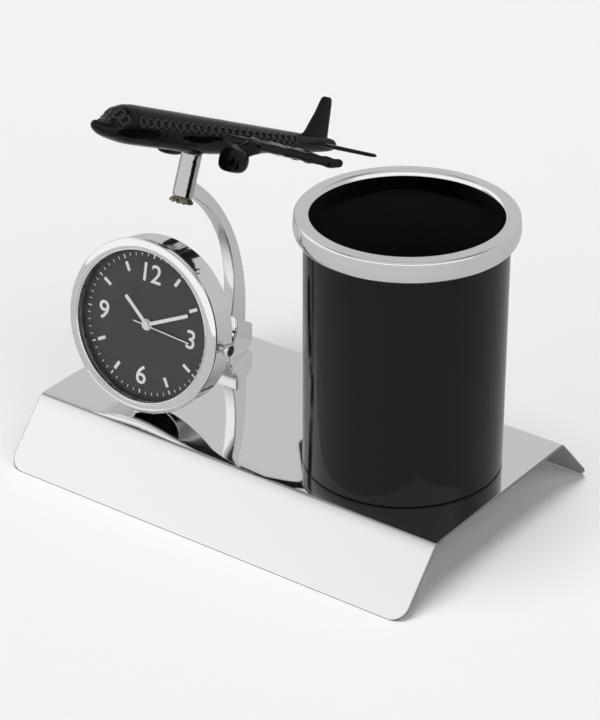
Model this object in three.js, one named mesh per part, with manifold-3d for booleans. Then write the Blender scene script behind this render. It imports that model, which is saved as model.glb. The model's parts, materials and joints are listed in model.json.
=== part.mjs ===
// Pen holder clock: a bent, mirror-plated base carries a pen cup, a tilted drum clock,
// and an arched stand with a model airliner that turns on a leaning post.
// Millimetres, +Z up, the dial faces -Y. Built from the middle of the base at desk height,
// then shifted so that the bottom centre of the bounding box is the origin.
import * as THREE from "three";
import { mergeVertices } from "three/addons/utils/BufferGeometryUtils.js";
import Module from "manifold-3d";

const wasm = await Module();
wasm.setup();

const degrees = Math.PI / 180;
const quarter = Math.PI / 2;
const roundSides = 48;
const smallSides = 20;

// Base, bent from one sheet
const sheetThickness = 1.2;
const baseLength = 186;
const topDepth = 86.5;
const baseHeight = 23.6;
const skirtRun = 21.4;
const bendRadius = 2.6;
const skirtCornerRadius = 7;

// Pen cup and its rim
const cupOffset = 48.5;
const cupRadius = 37.5;
const cupWall = 1;
const cupFloor = 1.2;
const cupCornerRadius = 1.6;
const cupHeight = 101.4;
const rimRadius = 41.2;
const rimOpeningRadius = 34.75;
const rimHeight = 8.6;
const rimWaist = 4.2;
const rimGrip = 5;
const rimOuterRound = 3.6;
const rimInnerRound = 1.5;
const rimFootRound = 1.8;

// Fasteners under the base
const cupScrewRadius = 2;
const cupScrewHeadRadius = 4;
const cupScrewHeadHeight = 2.6;
const nutRadius = 4.04;
const nutHeight = 3.2;
const washerRadius = 6;
const washerThickness = 1;
const footScrewRadius = 2;
const footScrewHeadRadius = 4;
const footScrewHeadHeight = 2.6;
const footScrewReach = 4.4;
const clockScrewRadius = 1.25;
const clockScrewHeadRadius = 2.4;
const clockScrewHeadHeight = 1.5;
const clockScrewReach = 2.9;
const threadEnd = 1.5;

// Stand: foot and arm
const standOffset = -55;
const footSetback = 26.7;
const footDepth = 10.6;
const footFrontHeight = 16.4;
const footBackHeight = 10;
const footFlare = 7.1;
const footHeel = 3.8;
const footTopWidth = 10.8;
const footSoleWidth = 12.4;
const footCorner = 0.7;
const armWidth = 5.4;
const armDepth = 8.9;
const armTipDepth = 5.9;
const armBackRadius = 81;
const armFrontRadius = 56.5;
const tenonLength = 7;
const tenonWidth = 3.4;
const tenonDepth = 4.8;

// Post, leaning back from a point on the arm's tip
const postRadius = 4.05;
const postLength = 17;
const postLean = 22 * degrees;
const postSetback = 0.3;
const postRise = 78.7;
const postBoreRadius = 1.7;
const postScrewRadius = 1.5;
const postScrewHeadRadius = 2.9;
const postScrewHeadHeight = 1.3;
const postScrewReach = 5;
const toothWasherRadius = 4.3;
const toothWasherRootRadius = 3.4;
const toothWasherThickness = 0.6;
const toothWasherTeeth = 12;

// Model airliner
const airlinerHeading = 10 * degrees;
const bodyPitch = 2 * degrees;
const bodyRoll = 2 * degrees;
const bodyLength = 131.5;
const bodyForward = 53.5;
const bodyTop = 6.3;
const bodyKeel = 8.65;
const bodyWidth = 14.8;
const padRadius = 4.4;
const padDrop = 7.9;
const finHeight = 16;
const finThickness = 1.4;
const wingHalfSpan = 40.4;
const wingThickness = 4.8;
const wingTipThickness = 3.8;
const wingLead = -1.5;
const wingChord = 26.4;
const wingTipLead = -32.6;
const wingTipChord = 7.5;
const wingRise = 0.1;
const wingTipRise = 0.1;
const nacelleOffset = 17.3;
const nacelleRadius = 5;
const nacelleLength = 9.2;
const nacelleLead = -1.75;
const nacelleDrop = 6.5;
const intakeRadius = 4.2;
const intakeDepth = 2.4;
const pylonWidth = 1.8;
const fairingLength = 7;
const fairingRadius = 1.2;
const tailHalfSpan = 20;
const tailThickness = 2;
const tailTipThickness = 1.6;
const tailLead = -60.3;
const tailChord = 10.5;
const tailTipLead = -77.6;
const tailTipChord = 4.3;
const tailRise = 3.3;
const tailTipRise = 3.8;

// Clock case, bezel and dial
const clockOffset = -53.1;
const clockSetback = -17.3;
const clockTilt = 10.9 * degrees;
const clockTurn = 2.4 * degrees;
const clockRoll = 1.4 * degrees;
const caseRadius = 33.9;
const caseWall = 2.5;
const caseDepth = 10.4;
const caseEdge = 0.4;
const caseRebateWidth = 1.2;
const caseRebateDepth = 1;
const ledgeWidth = 1;
const ledgeThickness = 0.8;
const bezelOverhang = 0.65;
const bezelEdge = 0.5;
const lipInset = 4;
const lipHeight = 13.06;
const lipThickness = 0.6;
const crystalThickness = 1.2;
const dialThickness = 0.5;
const dialHeight = 8.6;
const dialPinRadius = 0.35;
const dialPinReach = 9;
const dialPinLength = 2;
const backThickness = 1.5;
const holderWeb = 0.8;
const holderWall = 2.2;
const wedgeWidth = 12;
const wedgeDepth = 9;

// Movement
const movementRadius = 13;
const mainPlateThickness = 1.6;
const mainPlateHeight = 6.9;
const coverThickness = 0.4;
const batteryRadius = 3.4;
const batteryThickness = 2.1;
const batteryReach = 7.7;
const batteryAngle = 150 * degrees;
const clipAngle = 60 * degrees;
const clipWidth = 2;
const clipThickness = 0.3;
const clipLength = 1.6;
const coilLength = 11;
const coilRadius = 1.05;
const coilWireRadius = 0.9;
const coilCoreRadius = 0.5;
const coilReach = 7.9;
const boardLength = 6;
const boardWidth = 4.4;
const boardThickness = 0.4;
const boardReach = 8.5;
const chipSize = 2;
const chipThickness = 0.6;
const secondWheelRadius = 3.2;
const secondWheelThickness = 0.35;
const arborRadius = 0.35;
const tubeWall = 0.25;
const cannonWall = 0.3;
const hourPipeWall = 0.34;
const wheelThickness = 0.32;
const cannonTeeth = 12;
const minuteWheelTeeth = 36;
const minutePinionTeeth = 10;
const hourWheelTeeth = 40;
const motionReach = 5.76;
const motionAngle = 215 * degrees;
const toothDepth = 0.36;
const motionPostRadius = 0.35;

// Hands
const handThickness = 0.25;
const hourHandLength = 14.3;
const hourHandWidth = 1.5;
const hourHandAngle = 308.8 * degrees;
const minuteHandLength = 20.8;
const minuteHandWidth = 1.4;
const minuteHandAngle = 63.8 * degrees;
const secondHandLength = 20.8;
const secondHandTail = 5.7;
const secondHandWidth = 0.45;
const secondHandAngle = 93.6 * degrees;
const hubWall = 0.6;
const secondHubWall = 1.1;

// Crown and stem
const crownRadius = 2.65;
const crownLength = 2.2;
const crownKnurls = 28;
const knurlDepth = 0.18;
const crownTravel = 1.2;
const crownGap = 1.4;
const stemRadius = 0.45;
const stemNeckRadius = 0.28;
const stemNeckLength = 0.8;
const stemTip = 0.6;
const stemReach = 7.6;
const stemGrip = 1.2;
const stemHeight = 6.1;
const crownTubeRadius = 1.5;
const leverThickness = 0.36;
const leverWidth = 3;
const leverHeight = 2.2;

// Clearances
const faceGap = 0.05;
const seatGap = 0.3;
const screwClearance = 0.15;
const stackGap = 0.2;
const pivotGap = 0.12;
const handFit = 0.08;
const overrun = 5;

// Finishes: colour, roughness, metalness
const mirrorChrome = [0xd6d8da, 0.08, 1];
const steel = [0xb9bcc0, 0.35, 1];
const brass = [0xb9a05a, 0.35, 1];
const bronzedSteel = [0x6f5f48, 0.45, 1];
const glossBlack = [0x17181a, 0.22, 0];
const blackEnamel = [0x0f1011, 0.35, 0];
const dialGrey = [0x474747, 0.6, 0];
const handGrey = [0xcfcfcf, 0.5, 0.2];
const blackPlastic = [0x232425, 0.55, 0];
const palePlastic = [0xe6e3da, 0.6, 0];
const clearPane = [0xf4f8f8, 0.05, 0];
const copperWire = [0xb0683a, 0.4, 1];
const boardGreen = [0x2f5d3c, 0.6, 0];

// Foot outline from the sole up: share of the flare, front rise, heel, back rise and extra width
const footShares = [
  [1, 0, 1, 0, 1],
  [0.94, 0.07, 0.9, 0.05, 1],
  [0.66, 0.26, 0.62, 0.12, 0.6],
  [0.35, 0.5, 0.35, 0.2, 0.15],
  [0.08, 0.68, 0.2, 0.31, 0],
  [0, 0.96, 0, 0.85, 0],
  [0, 1, 0.18, 1, 0],
];

// Fuselage from nose to tail: place along the length, top, keel and width
const fuselageShares = [
  [0, -0.42, 0.49, 0.08],
  [0.011, -0.24, 0.61, 0.34],
  [0.03, -0.2, 0.76, 0.6],
  [0.048, -0.08, 0.84, 0.74],
  [0.064, 0.2, 0.89, 0.84],
  [0.078, 0.6, 0.92, 0.91],
  [0.098, 0.87, 0.96, 0.96],
  [0.122, 0.97, 0.99, 0.99],
  [0.15, 1, 1, 1],
  [0.27, 1, 0.97, 1],
  [0.455, 1, 0.89, 1],
  [0.62, 1, 0.6, 0.95],
  [0.75, 1, 0.35, 0.76],
  [0.863, 1, 0.14, 0.5],
  [0.94, 1, -0.01, 0.33],
  [0.985, 0.94, -0.14, 0.24],
  [1, 0.75, -0.25, 0.16],
];

// Fin outline: place along the length, height above the fuselage's top
const finShares = [
  [0.82, -0.1],
  [0.852, 0.04],
  [0.881, 0.58],
  [0.896, 0.95],
  [0.903, 1],
  [0.936, 1],
  [0.944, 0.93],
  [0.963, -0.1],
];

// Wing sections seen from the tip: place along the chord, half thickness
const airfoilShares = [
  [0, 0.1],
  [0.1, 0.75],
  [0.35, 1],
  [0.7, 0.75],
  [1, 0.2],
  [1, -0.2],
  [0.7, -0.75],
  [0.35, -1],
  [0.1, -0.75],
  [0, -0.1],
];

// Tip rounding: place along the half span, trim of the chord, trim of the thickness
const tipShares = [
  [1, 0.08, 0.16],
  [0.982, 0.01, 0.03],
];

// Engine outline from the intake back: place along the length, radius
const nacelleShares = [
  [0, 0.9],
  [0.06, 1],
  [0.55, 1],
  [0.8, 0.84],
  [0.95, 0.6],
  [1, 0.4],
];

// Pylon outline: place along the engine, height between the engine's axis and the wing
const pylonShares = [
  [0.3, 0.55],
  [0.5, 0.85],
  [1.1, 1.25],
  [2.1, 1],
  [1.75, 0.5],
  [0.95, 0.25],
];

// Flap fairings: place along the half span
const fairingShares = [0.56, 0.69];

// A gear tooth: place in its pitch, height
const toothShares = [
  [-0.26, 0],
  [-0.12, 1],
  [0.12, 1],
  [0.26, 0],
];
const addendumShare = 0.36;

// Sizes that follow from the ones above
const skirtAngle = Math.atan2(baseHeight, skirtRun);
const plateTop = baseHeight;
const underside = -sheetThickness;
const rimBottom = cupHeight - rimHeight;
const caseBore = caseRadius - caseWall;
const insertRadius = caseBore - seatGap;
const backTop = seatGap + backThickness;
const ledgeBottom = backTop + seatGap;
const ledgeTop = ledgeBottom + ledgeThickness;
const dialBottom = dialHeight - dialThickness;
const holderBottom = ledgeTop + seatGap;
const holderTop = dialBottom - seatGap;
const bezelRadius = caseRadius + bezelOverhang;
const bezelBottom = caseDepth + seatGap;
const lipRadius = caseRadius - lipInset;
const lipUnderside = lipHeight - lipThickness;
const crystalTop = lipUnderside - stackGap;
const crystalBottom = crystalTop - crystalThickness;
const mainPlateBottom = mainPlateHeight - mainPlateThickness;
const batteryTop = mainPlateBottom - stackGap;
const batteryBottom = batteryTop - batteryThickness;
const coverTop = batteryBottom - stackGap;
const coverBottom = coverTop - coverThickness;
const tubeBore = arborRadius + pivotGap;
const tubeRadius = tubeBore + tubeWall;
const cannonBore = tubeRadius + pivotGap;
const cannonRadius = cannonBore + cannonWall;
const hourBore = cannonRadius + pivotGap;
const hourPipeRadius = hourBore + hourPipeWall;
const dialHoleRadius = hourPipeRadius + stackGap;
const hourHandBottom = dialHeight + stackGap;
const hourHandTop = hourHandBottom + handThickness;
const minuteHandBottom = hourHandTop + stackGap;
const minuteHandTop = minuteHandBottom + handThickness;
const secondHandBottom = minuteHandTop + stackGap;
const secondHandTop = secondHandBottom + handThickness;
const motionBottom = mainPlateHeight + stackGap / 2;
const minuteWheelTop = motionBottom + wheelThickness;
const hourWheelBottom = minuteWheelTop + stackGap;
const hourWheelTop = hourWheelBottom + wheelThickness;
const fastModule = (2 * motionReach) / (cannonTeeth + minuteWheelTeeth);
const slowModule = (2 * motionReach) / (minutePinionTeeth + hourWheelTeeth);
const stemBore = stemRadius + screwClearance;
const crownStart = caseRadius + crownGap;
const crownEnd = crownStart + crownLength;
const neckStart = stemReach + stemTip;
const leverStart = neckStart + (stemNeckLength - leverThickness) / 2;
const toothWasherBottom = -seatGap - toothWasherThickness;

// Turns a geometry into one with positions only, shared corners and no empty triangles
function weld(geometry) {
  const bare = new THREE.BufferGeometry();
  bare.setAttribute("position", geometry.getAttribute("position").clone());
  if (geometry.index) bare.setIndex(geometry.index.clone());
  const merged = mergeVertices(bare);
  const corners = Array.from(merged.index.array);
  const kept = [];
  for (let i = 0; i < corners.length; i += 3) {
    const [a, b, c] = corners.slice(i, i + 3);
    if (a !== b && b !== c && c !== a) kept.push(a, b, c);
  }
  merged.setIndex(kept);
  return merged;
}

function toSolid(geometry) {
  const closed = weld(geometry);
  const vertProperties = new Float32Array(closed.getAttribute("position").array);
  const triVerts = new Uint32Array(closed.index.array);
  return new wasm.Manifold(new wasm.Mesh({ numProp: 3, vertProperties, triVerts }));
}

function toGeometry(solid) {
  const mesh = solid.getMesh();
  const geometry = new THREE.BufferGeometry();
  geometry.setAttribute("position", new THREE.BufferAttribute(new Float32Array(mesh.vertProperties), 3));
  geometry.setIndex(Array.from(mesh.triVerts));
  return geometry;
}

function cut(geometry, ...tools) {
  return toGeometry(tools.reduce((left, tool) => left.subtract(toSolid(tool)), toSolid(geometry)));
}

function join(...geometries) {
  const [first, ...others] = geometries.map(toSolid);
  return toGeometry(others.reduce((sum, other) => sum.add(other), first));
}

// Spins an outline of (radius, height) points round Z
function turned(outline, sides) {
  const points = outline.map(([radius, height]) => new THREE.Vector2(radius, height));
  return new THREE.LatheGeometry(points, sides).rotateX(quarter);
}

function ring(inner, outer, low, high, sides) {
  return turned([[inner, low], [outer, low], [outer, high], [inner, high], [inner, low]], sides);
}

function rod(radius, low, high, sides) {
  return new THREE.CylinderGeometry(radius, radius, high - low, sides)
    .rotateX(quarter)
    .translate(0, 0, (low + high) / 2);
}

function block(low, high) {
  const size = new THREE.Vector3().subVectors(high, low);
  const middle = new THREE.Vector3().addVectors(low, high).multiplyScalar(0.5);
  return new THREE.BoxGeometry(size.x, size.y, size.z).translate(middle.x, middle.y, middle.z);
}

function slab(shape, low, high, curveSegments) {
  return new THREE.ExtrudeGeometry(shape, { depth: high - low, bevelEnabled: false, curveSegments })
    .translate(0, 0, low);
}

// Lays an outline drawn in (Y, Z) across the X direction, centred
function acrossX(shape, width, curveSegments) {
  const alongX = new THREE.Vector3(1, 0, 0);
  const alongY = new THREE.Vector3(0, 1, 0);
  const alongZ = new THREE.Vector3(0, 0, 1);
  const turn = new THREE.Matrix4().makeBasis(alongY, alongZ, alongX);
  return slab(shape, -width / 2, width / 2, curveSegments).applyMatrix4(turn);
}

function polygon(points) {
  return new THREE.Shape(points.map(([x, y]) => new THREE.Vector2(x, y)));
}

// Skins a row of rings that have equal counts of points, and closes both ends
function loft(rings) {
  const count = rings[0].length;
  const positions = rings.flat().flatMap((point) => [point.x, point.y, point.z]);
  const index = [];
  for (let row = 0; row + 1 < rings.length; row += 1) {
    for (let i = 0; i < count; i += 1) {
      const a = row * count + i;
      const b = row * count + ((i + 1) % count);
      index.push(a, b, b + count, a, b + count, a + count);
    }
  }
  const last = (rings.length - 1) * count;
  for (let i = 1; i + 1 < count; i += 1) {
    index.push(0, i + 1, i, last, last + i, last + i + 1);
  }
  const geometry = new THREE.BufferGeometry();
  geometry.setAttribute("position", new THREE.Float32BufferAttribute(positions, 3));
  geometry.setIndex(index);
  return geometry;
}

// Goes on from a shape's last point to (x, y) along an arc of the given radius
function arcTo(shape, x, y, radius, clockwise) {
  const from = shape.currentPoint;
  const chord = new THREE.Vector2(x - from.x, y - from.y);
  const side = clockwise ? -1 : 1;
  const reach = (side * Math.sqrt(radius ** 2 - chord.lengthSq() / 4)) / chord.length();
  const centreX = (from.x + x) / 2 - chord.y * reach;
  const centreY = (from.y + y) / 2 + chord.x * reach;
  const start = Math.atan2(from.y - centreY, from.x - centreX);
  const end = Math.atan2(y - centreY, x - centreX);
  shape.absarc(centreX, centreY, radius, start, end, clockwise);
}

function piece(parent, name, geometry, [color, roughness, metalness]) {
  const material = new THREE.MeshStandardMaterial({ color, roughness, metalness });
  const mesh = new THREE.Mesh(weld(geometry), material);
  mesh.geometry.computeVertexNormals();
  mesh.name = name;
  parent.add(mesh);
  return mesh;
}

function group(parent, x, y, z) {
  const placed = new THREE.Group();
  placed.position.set(x, y, z);
  parent.add(placed);
  return placed;
}

const assembly = new THREE.Group();
const cup = group(assembly, cupOffset, 0, plateTop);
const stand = group(assembly, standOffset, 0, plateTop);

const post = group(stand, 0, postSetback, postRise);
post.rotation.x = -postLean;

const airliner = group(post, 0, 0, postLength + seatGap + padDrop);
airliner.rotation.set(-bodyPitch, -bodyRoll, -airlinerHeading, "ZXY");

// The drum's rear rim rests on the base, so its centre stands one tilted radius above it
const clockRise = plateTop + seatGap + caseRadius * Math.cos(clockTilt);
const clockFoot = group(assembly, clockOffset, clockSetback, clockRise);
clockFoot.rotation.set(quarter - clockTilt, 0, clockTurn, "ZXY");
const clock = group(clockFoot, 0, 0, 0);
clock.rotation.z = -clockRoll;
assembly.updateMatrixWorld(true);

// The clock's screw stands under the middle of the wedge
const clockScrewPlace = clockFoot.localToWorld(new THREE.Vector3(0, -caseRadius, wedgeDepth / 2));
const footSoleFront = footSetback - footFlare;
const footSoleBack = footSetback + footDepth - footHeel;
const footScrewSetback = (footSoleFront + footSoleBack) / 2;

// Base plate: flat top between two bends, skirts down to the desk, round lower corners
function basePlate() {
  const bendY = topDepth / 2 - bendRadius * Math.tan(skirtAngle / 2);
  const bendZ = baseHeight - bendRadius;
  const innerBend = bendRadius - sheetThickness;
  const edgeY = topDepth / 2 + skirtRun;
  const edgeWidth = sheetThickness / Math.sin(skirtAngle);
  const profile = new THREE.Shape();
  profile.moveTo(edgeY - edgeWidth, 0);
  profile.lineTo(edgeY, 0);
  profile.absarc(bendY, bendZ, bendRadius, quarter - skirtAngle, quarter, false);
  profile.absarc(-bendY, bendZ, bendRadius, quarter, quarter + skirtAngle, false);
  profile.lineTo(-edgeY, 0);
  profile.lineTo(edgeWidth - edgeY, 0);
  profile.absarc(-bendY, bendZ, innerBend, quarter + skirtAngle, quarter, true);
  profile.absarc(bendY, bendZ, innerBend, quarter, quarter - skirtAngle, true);
  profile.closePath();

  const half = baseLength / 2;
  const cornerX = half - skirtCornerRadius;
  const cornerRise = skirtCornerRadius * Math.sin(skirtAngle);
  const front = new THREE.Shape();
  front.absellipse(cornerX, cornerRise, skirtCornerRadius, cornerRise, -quarter, 0, false, 0);
  front.lineTo(half, baseHeight + overrun);
  front.lineTo(-half, baseHeight + overrun);
  front.absellipse(-cornerX, cornerRise, skirtCornerRadius, cornerRise, 2 * quarter, 3 * quarter, false, 0);
  front.closePath();
  const outline = slab(front, -edgeY - overrun, edgeY + overrun, 6).rotateX(quarter);
  const bent = toSolid(acrossX(profile, baseLength + overrun, 5)).intersect(toSolid(outline));

  const hole = (radius, x, y) =>
    rod(radius + screwClearance, plateTop - overrun, plateTop + overrun, smallSides).translate(x, y, 0);
  return cut(
    toGeometry(bent),
    hole(cupScrewRadius, cupOffset, 0),
    hole(footScrewRadius, standOffset, footScrewSetback),
    hole(clockScrewRadius, clockScrewPlace.x, clockScrewPlace.y),
  );
}

function cornerArc(centreX, centreY, radius, from, to) {
  const steps = 3;
  return Array.from({ length: steps + 1 }, (_, i) => {
    const angle = from + ((to - from) * i) / steps;
    return [centreX + radius * Math.cos(angle), centreY + radius * Math.sin(angle)];
  });
}

// Pen cup: drawn tube with a round lower corner, a hole for its screw and a ring round its head
function cupBody() {
  const hole = cupScrewRadius + screwClearance;
  const headRing = cupScrewHeadRadius + seatGap;
  const inner = cupRadius - cupWall;
  const innerCorner = Math.max(cupCornerRadius - cupWall, cupWall / 2);
  const top = rimBottom + rimGrip - seatGap;
  const outline = [
    [hole, 0],
    ...cornerArc(cupRadius - cupCornerRadius, cupCornerRadius, cupCornerRadius, -quarter, 0),
    [cupRadius, top],
    [inner, top],
    ...cornerArc(inner - innerCorner, cupFloor + innerCorner, innerCorner, 0, -quarter),
    [headRing, cupFloor],
    [hole, cupFloor],
    [hole, 0],
  ];
  return turned(outline, roundSides);
}

// Rim: a rounded ring with a groove from below for the tube's edge
function cupRim() {
  const grooveOuter = cupRadius + screwClearance;
  const grooveInner = cupRadius - cupWall - screwClearance;
  const footAt = rimRadius - rimFootRound;
  const shoulderAt = rimRadius - rimOuterRound;
  const lipAt = rimOpeningRadius + rimInnerRound;
  const crest = rimHeight - rimWaist;
  const shape = new THREE.Shape();
  shape.absellipse(footAt, rimWaist, rimFootRound, rimWaist, -quarter, 0, false, 0);
  shape.absellipse(shoulderAt, rimWaist, rimOuterRound, crest, 0, quarter, false, 0);
  shape.absarc(lipAt, rimHeight - rimInnerRound, rimInnerRound, quarter, 2 * quarter, false);
  shape.lineTo(rimOpeningRadius, rimGrip / 2);
  shape.lineTo((rimOpeningRadius + grooveInner) / 2, 0);
  shape.lineTo(grooveInner, 0);
  shape.lineTo(grooveInner, rimGrip);
  shape.lineTo(grooveOuter, rimGrip);
  shape.lineTo(grooveOuter, 0);
  shape.closePath();
  return new THREE.LatheGeometry(shape.getPoints(2), roundSides).rotateX(quarter);
}

// A slotted screw: head below height zero, shank rising above it
function screw(headRadius, headHeight, shankRadius, length) {
  const round = headHeight / 3;
  const outline = [
    [0, -headHeight],
    [headRadius - round, -headHeight],
    [headRadius, round - headHeight],
    [headRadius, 0],
    [shankRadius, 0],
    [shankRadius, length - shankRadius / 2],
    [shankRadius / 2, length],
    [0, length],
  ];
  const slotWidth = headRadius / 4;
  const slotLow = new THREE.Vector3(-headRadius - overrun, -slotWidth / 2, -headHeight - overrun);
  const slotHigh = new THREE.Vector3(headRadius + overrun, slotWidth / 2, -headHeight / 2);
  return cut(turned(outline, smallSides), block(slotLow, slotHigh));
}

function buildCup() {
  piece(cup, "cup_body", cupBody(), blackEnamel).position.z = faceGap;
  piece(cup, "cup_rim", cupRim(), mirrorChrome).position.z = rimBottom;
  const washerTop = underside - faceGap;
  const nutTop = washerTop - washerThickness - faceGap;
  const headSeat = cupFloor + 2 * faceGap;
  const shank = headSeat - nutTop + nutHeight + threadEnd;
  const fastener = screw(cupScrewHeadRadius, cupScrewHeadHeight, cupScrewRadius, shank);
  piece(cup, "cup_screw", fastener.rotateX(2 * quarter), steel).position.z = headSeat;
  const bore = cupScrewRadius + screwClearance;
  piece(cup, "cup_washer", ring(bore, washerRadius, washerTop - washerThickness, washerTop, 24), steel);
  const thread = rod(bore, nutTop - nutHeight - overrun, nutTop + overrun, smallSides);
  piece(cup, "cup_nut", cut(rod(nutRadius, nutTop - nutHeight, nutTop, 6), thread), steel);
}

// Foot of the stand: flared at the sole, with a top that slopes to the back
function standFoot() {
  const back = footSetback + footDepth;
  const rings = footShares.map(([flare, frontRise, heel, backRise, extra]) => {
    const half = (footTopWidth + (footSoleWidth - footTopWidth) * extra) / 2;
    const front = new THREE.Vector2(footSetback - footFlare * flare, footFrontHeight * frontRise);
    const rear = new THREE.Vector2(back - footHeel * heel, footBackHeight * backRise);
    const inset = footCorner / (rear.x - front.x);
    const at = (x, share) => {
      const place = front.clone().lerp(rear, share);
      return new THREE.Vector3(x, place.x, place.y);
    };
    return [
      at(footCorner - half, 0),
      at(half - footCorner, 0),
      at(half, inset),
      at(half, 1 - inset),
      at(half - footCorner, 1),
      at(footCorner - half, 1),
      at(-half, 1 - inset),
      at(-half, inset),
    ];
  });
  const tenon = tenonPlace();
  const low = new THREE.Vector3(-tenonWidth / 2 - seatGap, tenon.front - seatGap, tenon.bottom - seatGap);
  const high = new THREE.Vector3(tenonWidth / 2 + seatGap, tenon.back + seatGap, footFrontHeight + overrun);
  const screwBore = footScrewRadius + screwClearance;
  const screwHole = rod(screwBore, -overrun, footScrewReach + screwClearance, smallSides);
  return cut(loft(rings), block(low, high), screwHole.translate(0, footScrewSetback, 0));
}

// The foot's sloping top, which the arm stands on
function footTopAt(setback) {
  const [, , heel] = footShares[footShares.length - 1];
  const run = footDepth - footHeel * heel;
  return footFrontHeight + ((footBackHeight - footFrontHeight) * (setback - footSetback)) / run;
}

function tenonPlace() {
  const middle = footSetback + armDepth / 2;
  const front = middle - tenonDepth / 2;
  const back = middle + tenonDepth / 2;
  return { front, back, bottom: footTopAt(middle) - tenonLength };
}

// Arm: a bar between two arcs, from the foot's top to the back of the post
function standArm() {
  const toBack = new THREE.Vector2(Math.cos(postLean), -Math.sin(postLean));
  const alongPost = new THREE.Vector2(Math.sin(postLean), Math.cos(postLean));
  const postFoot = new THREE.Vector2(postSetback, postRise);
  const tipFront = postFoot.clone().addScaledVector(toBack, postRadius);
  const tipBack = tipFront.clone().addScaledVector(alongPost, armTipDepth);
  const tenon = tenonPlace();
  const heel = footSetback + armDepth;
  const shape = new THREE.Shape();
  shape.moveTo(footSetback, footTopAt(footSetback) + seatGap);
  arcTo(shape, tipFront.x, tipFront.y, armFrontRadius, false);
  shape.lineTo(postFoot.x, postFoot.y);
  shape.lineTo(postFoot.x + alongPost.x * armTipDepth, postFoot.y + alongPost.y * armTipDepth);
  shape.lineTo(tipBack.x, tipBack.y);
  arcTo(shape, heel, footTopAt(heel) + seatGap, armBackRadius, true);
  shape.closePath();
  const bar = acrossX(shape, armWidth, 9);
  const low = new THREE.Vector3(-tenonWidth / 2, tenon.front, tenon.bottom);
  const high = new THREE.Vector3(tenonWidth / 2, tenon.back, footFrontHeight + tenonLength);
  const socket = rod(postRadius + seatGap, -overrun, postLength, 40)
    .rotateX(-postLean)
    .translate(0, postSetback, postRise);
  return cut(join(bar, block(low, high)), socket);
}

function toothWasher() {
  const points = Array.from({ length: 2 * toothWasherTeeth }, (_, i) => {
    const radius = i % 2 ? toothWasherRootRadius : toothWasherRadius;
    const angle = (i * 2 * quarter) / toothWasherTeeth;
    return [radius * Math.cos(angle), radius * Math.sin(angle)];
  });
  const bore = rod(postScrewRadius + screwClearance, toothWasherBottom - overrun, overrun, smallSides);
  return cut(slab(polygon(points), toothWasherBottom, -seatGap, 1), bore);
}

function buildStand() {
  piece(stand, "stand_foot", standFoot(), mirrorChrome).position.z = faceGap;
  piece(stand, "stand_arm", standArm(), mirrorChrome).position.z = faceGap;
  piece(post, "post", ring(postBoreRadius, postRadius, 0, postLength, 40), mirrorChrome);
  piece(post, "post_washer", toothWasher(), bronzedSteel);
  const headSeat = toothWasherBottom - seatGap;
  const reach = postLength + seatGap + postScrewReach - headSeat;
  piece(post, "post_screw", screw(postScrewHeadRadius, postScrewHeadHeight, postScrewRadius, reach), steel)
    .position.z = headSeat;

  const washerTop = underside - faceGap;
  const washerBottom = washerTop - washerThickness;
  const footWasher = ring(footScrewRadius + screwClearance, washerRadius, washerBottom, washerTop, 24);
  piece(stand, "foot_washer", footWasher, steel).position.y = footScrewSetback;
  const footHeadSeat = washerBottom - faceGap;
  const footShank = footScrewReach - footHeadSeat;
  const footScrew = screw(footScrewHeadRadius, footScrewHeadHeight, footScrewRadius, footShank);
  piece(stand, "foot_screw", footScrew, steel).position.set(0, footScrewSetback, footHeadSeat);
}

// A tapered, swept wing from tip to tip; a margin makes the room for it in the fuselage
function sweptWing(size, margin) {
  const stations = [
    ...tipShares.map(([place, chord, thickness]) => [-place, chord, thickness]),
    [0, 0, 0],
    ...tipShares.map(([place, chord, thickness]) => [place, chord, thickness]).reverse(),
  ];
  const rings = stations.map(([place, chordTrim, thicknessTrim]) => {
    const share = Math.abs(place);
    const between = (root, tip) => root + (tip - root) * share;
    const chord = between(size.chord, size.tipChord);
    const front = (chord * chordTrim) / 2 - between(size.lead, size.tipLead) - margin;
    const length = chord * (1 - chordTrim) + 2 * margin;
    const half = (between(size.thickness, size.tipThickness) / 2) * (1 - thicknessTrim);
    const rise = between(size.rise, size.tipRise);
    return airfoilShares.map(([along, height]) => {
      const grown = half * height + margin * Math.sign(height);
      return new THREE.Vector3(place * size.halfSpan, front + along * length, rise + grown);
    }).reverse();
  });
  return loft(rings);
}

const wingSize = {
  halfSpan: wingHalfSpan,
  lead: wingLead,
  tipLead: wingTipLead,
  chord: wingChord,
  tipChord: wingTipChord,
  thickness: wingThickness,
  tipThickness: wingTipThickness,
  rise: wingRise,
  tipRise: wingTipRise,
};

const tailSize = {
  halfSpan: tailHalfSpan,
  lead: tailLead,
  tipLead: tailTipLead,
  chord: tailChord,
  tipChord: tailTipChord,
  thickness: tailThickness,
  tipThickness: tailTipThickness,
  rise: tailRise,
  tipRise: tailTipRise,
};

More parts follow.
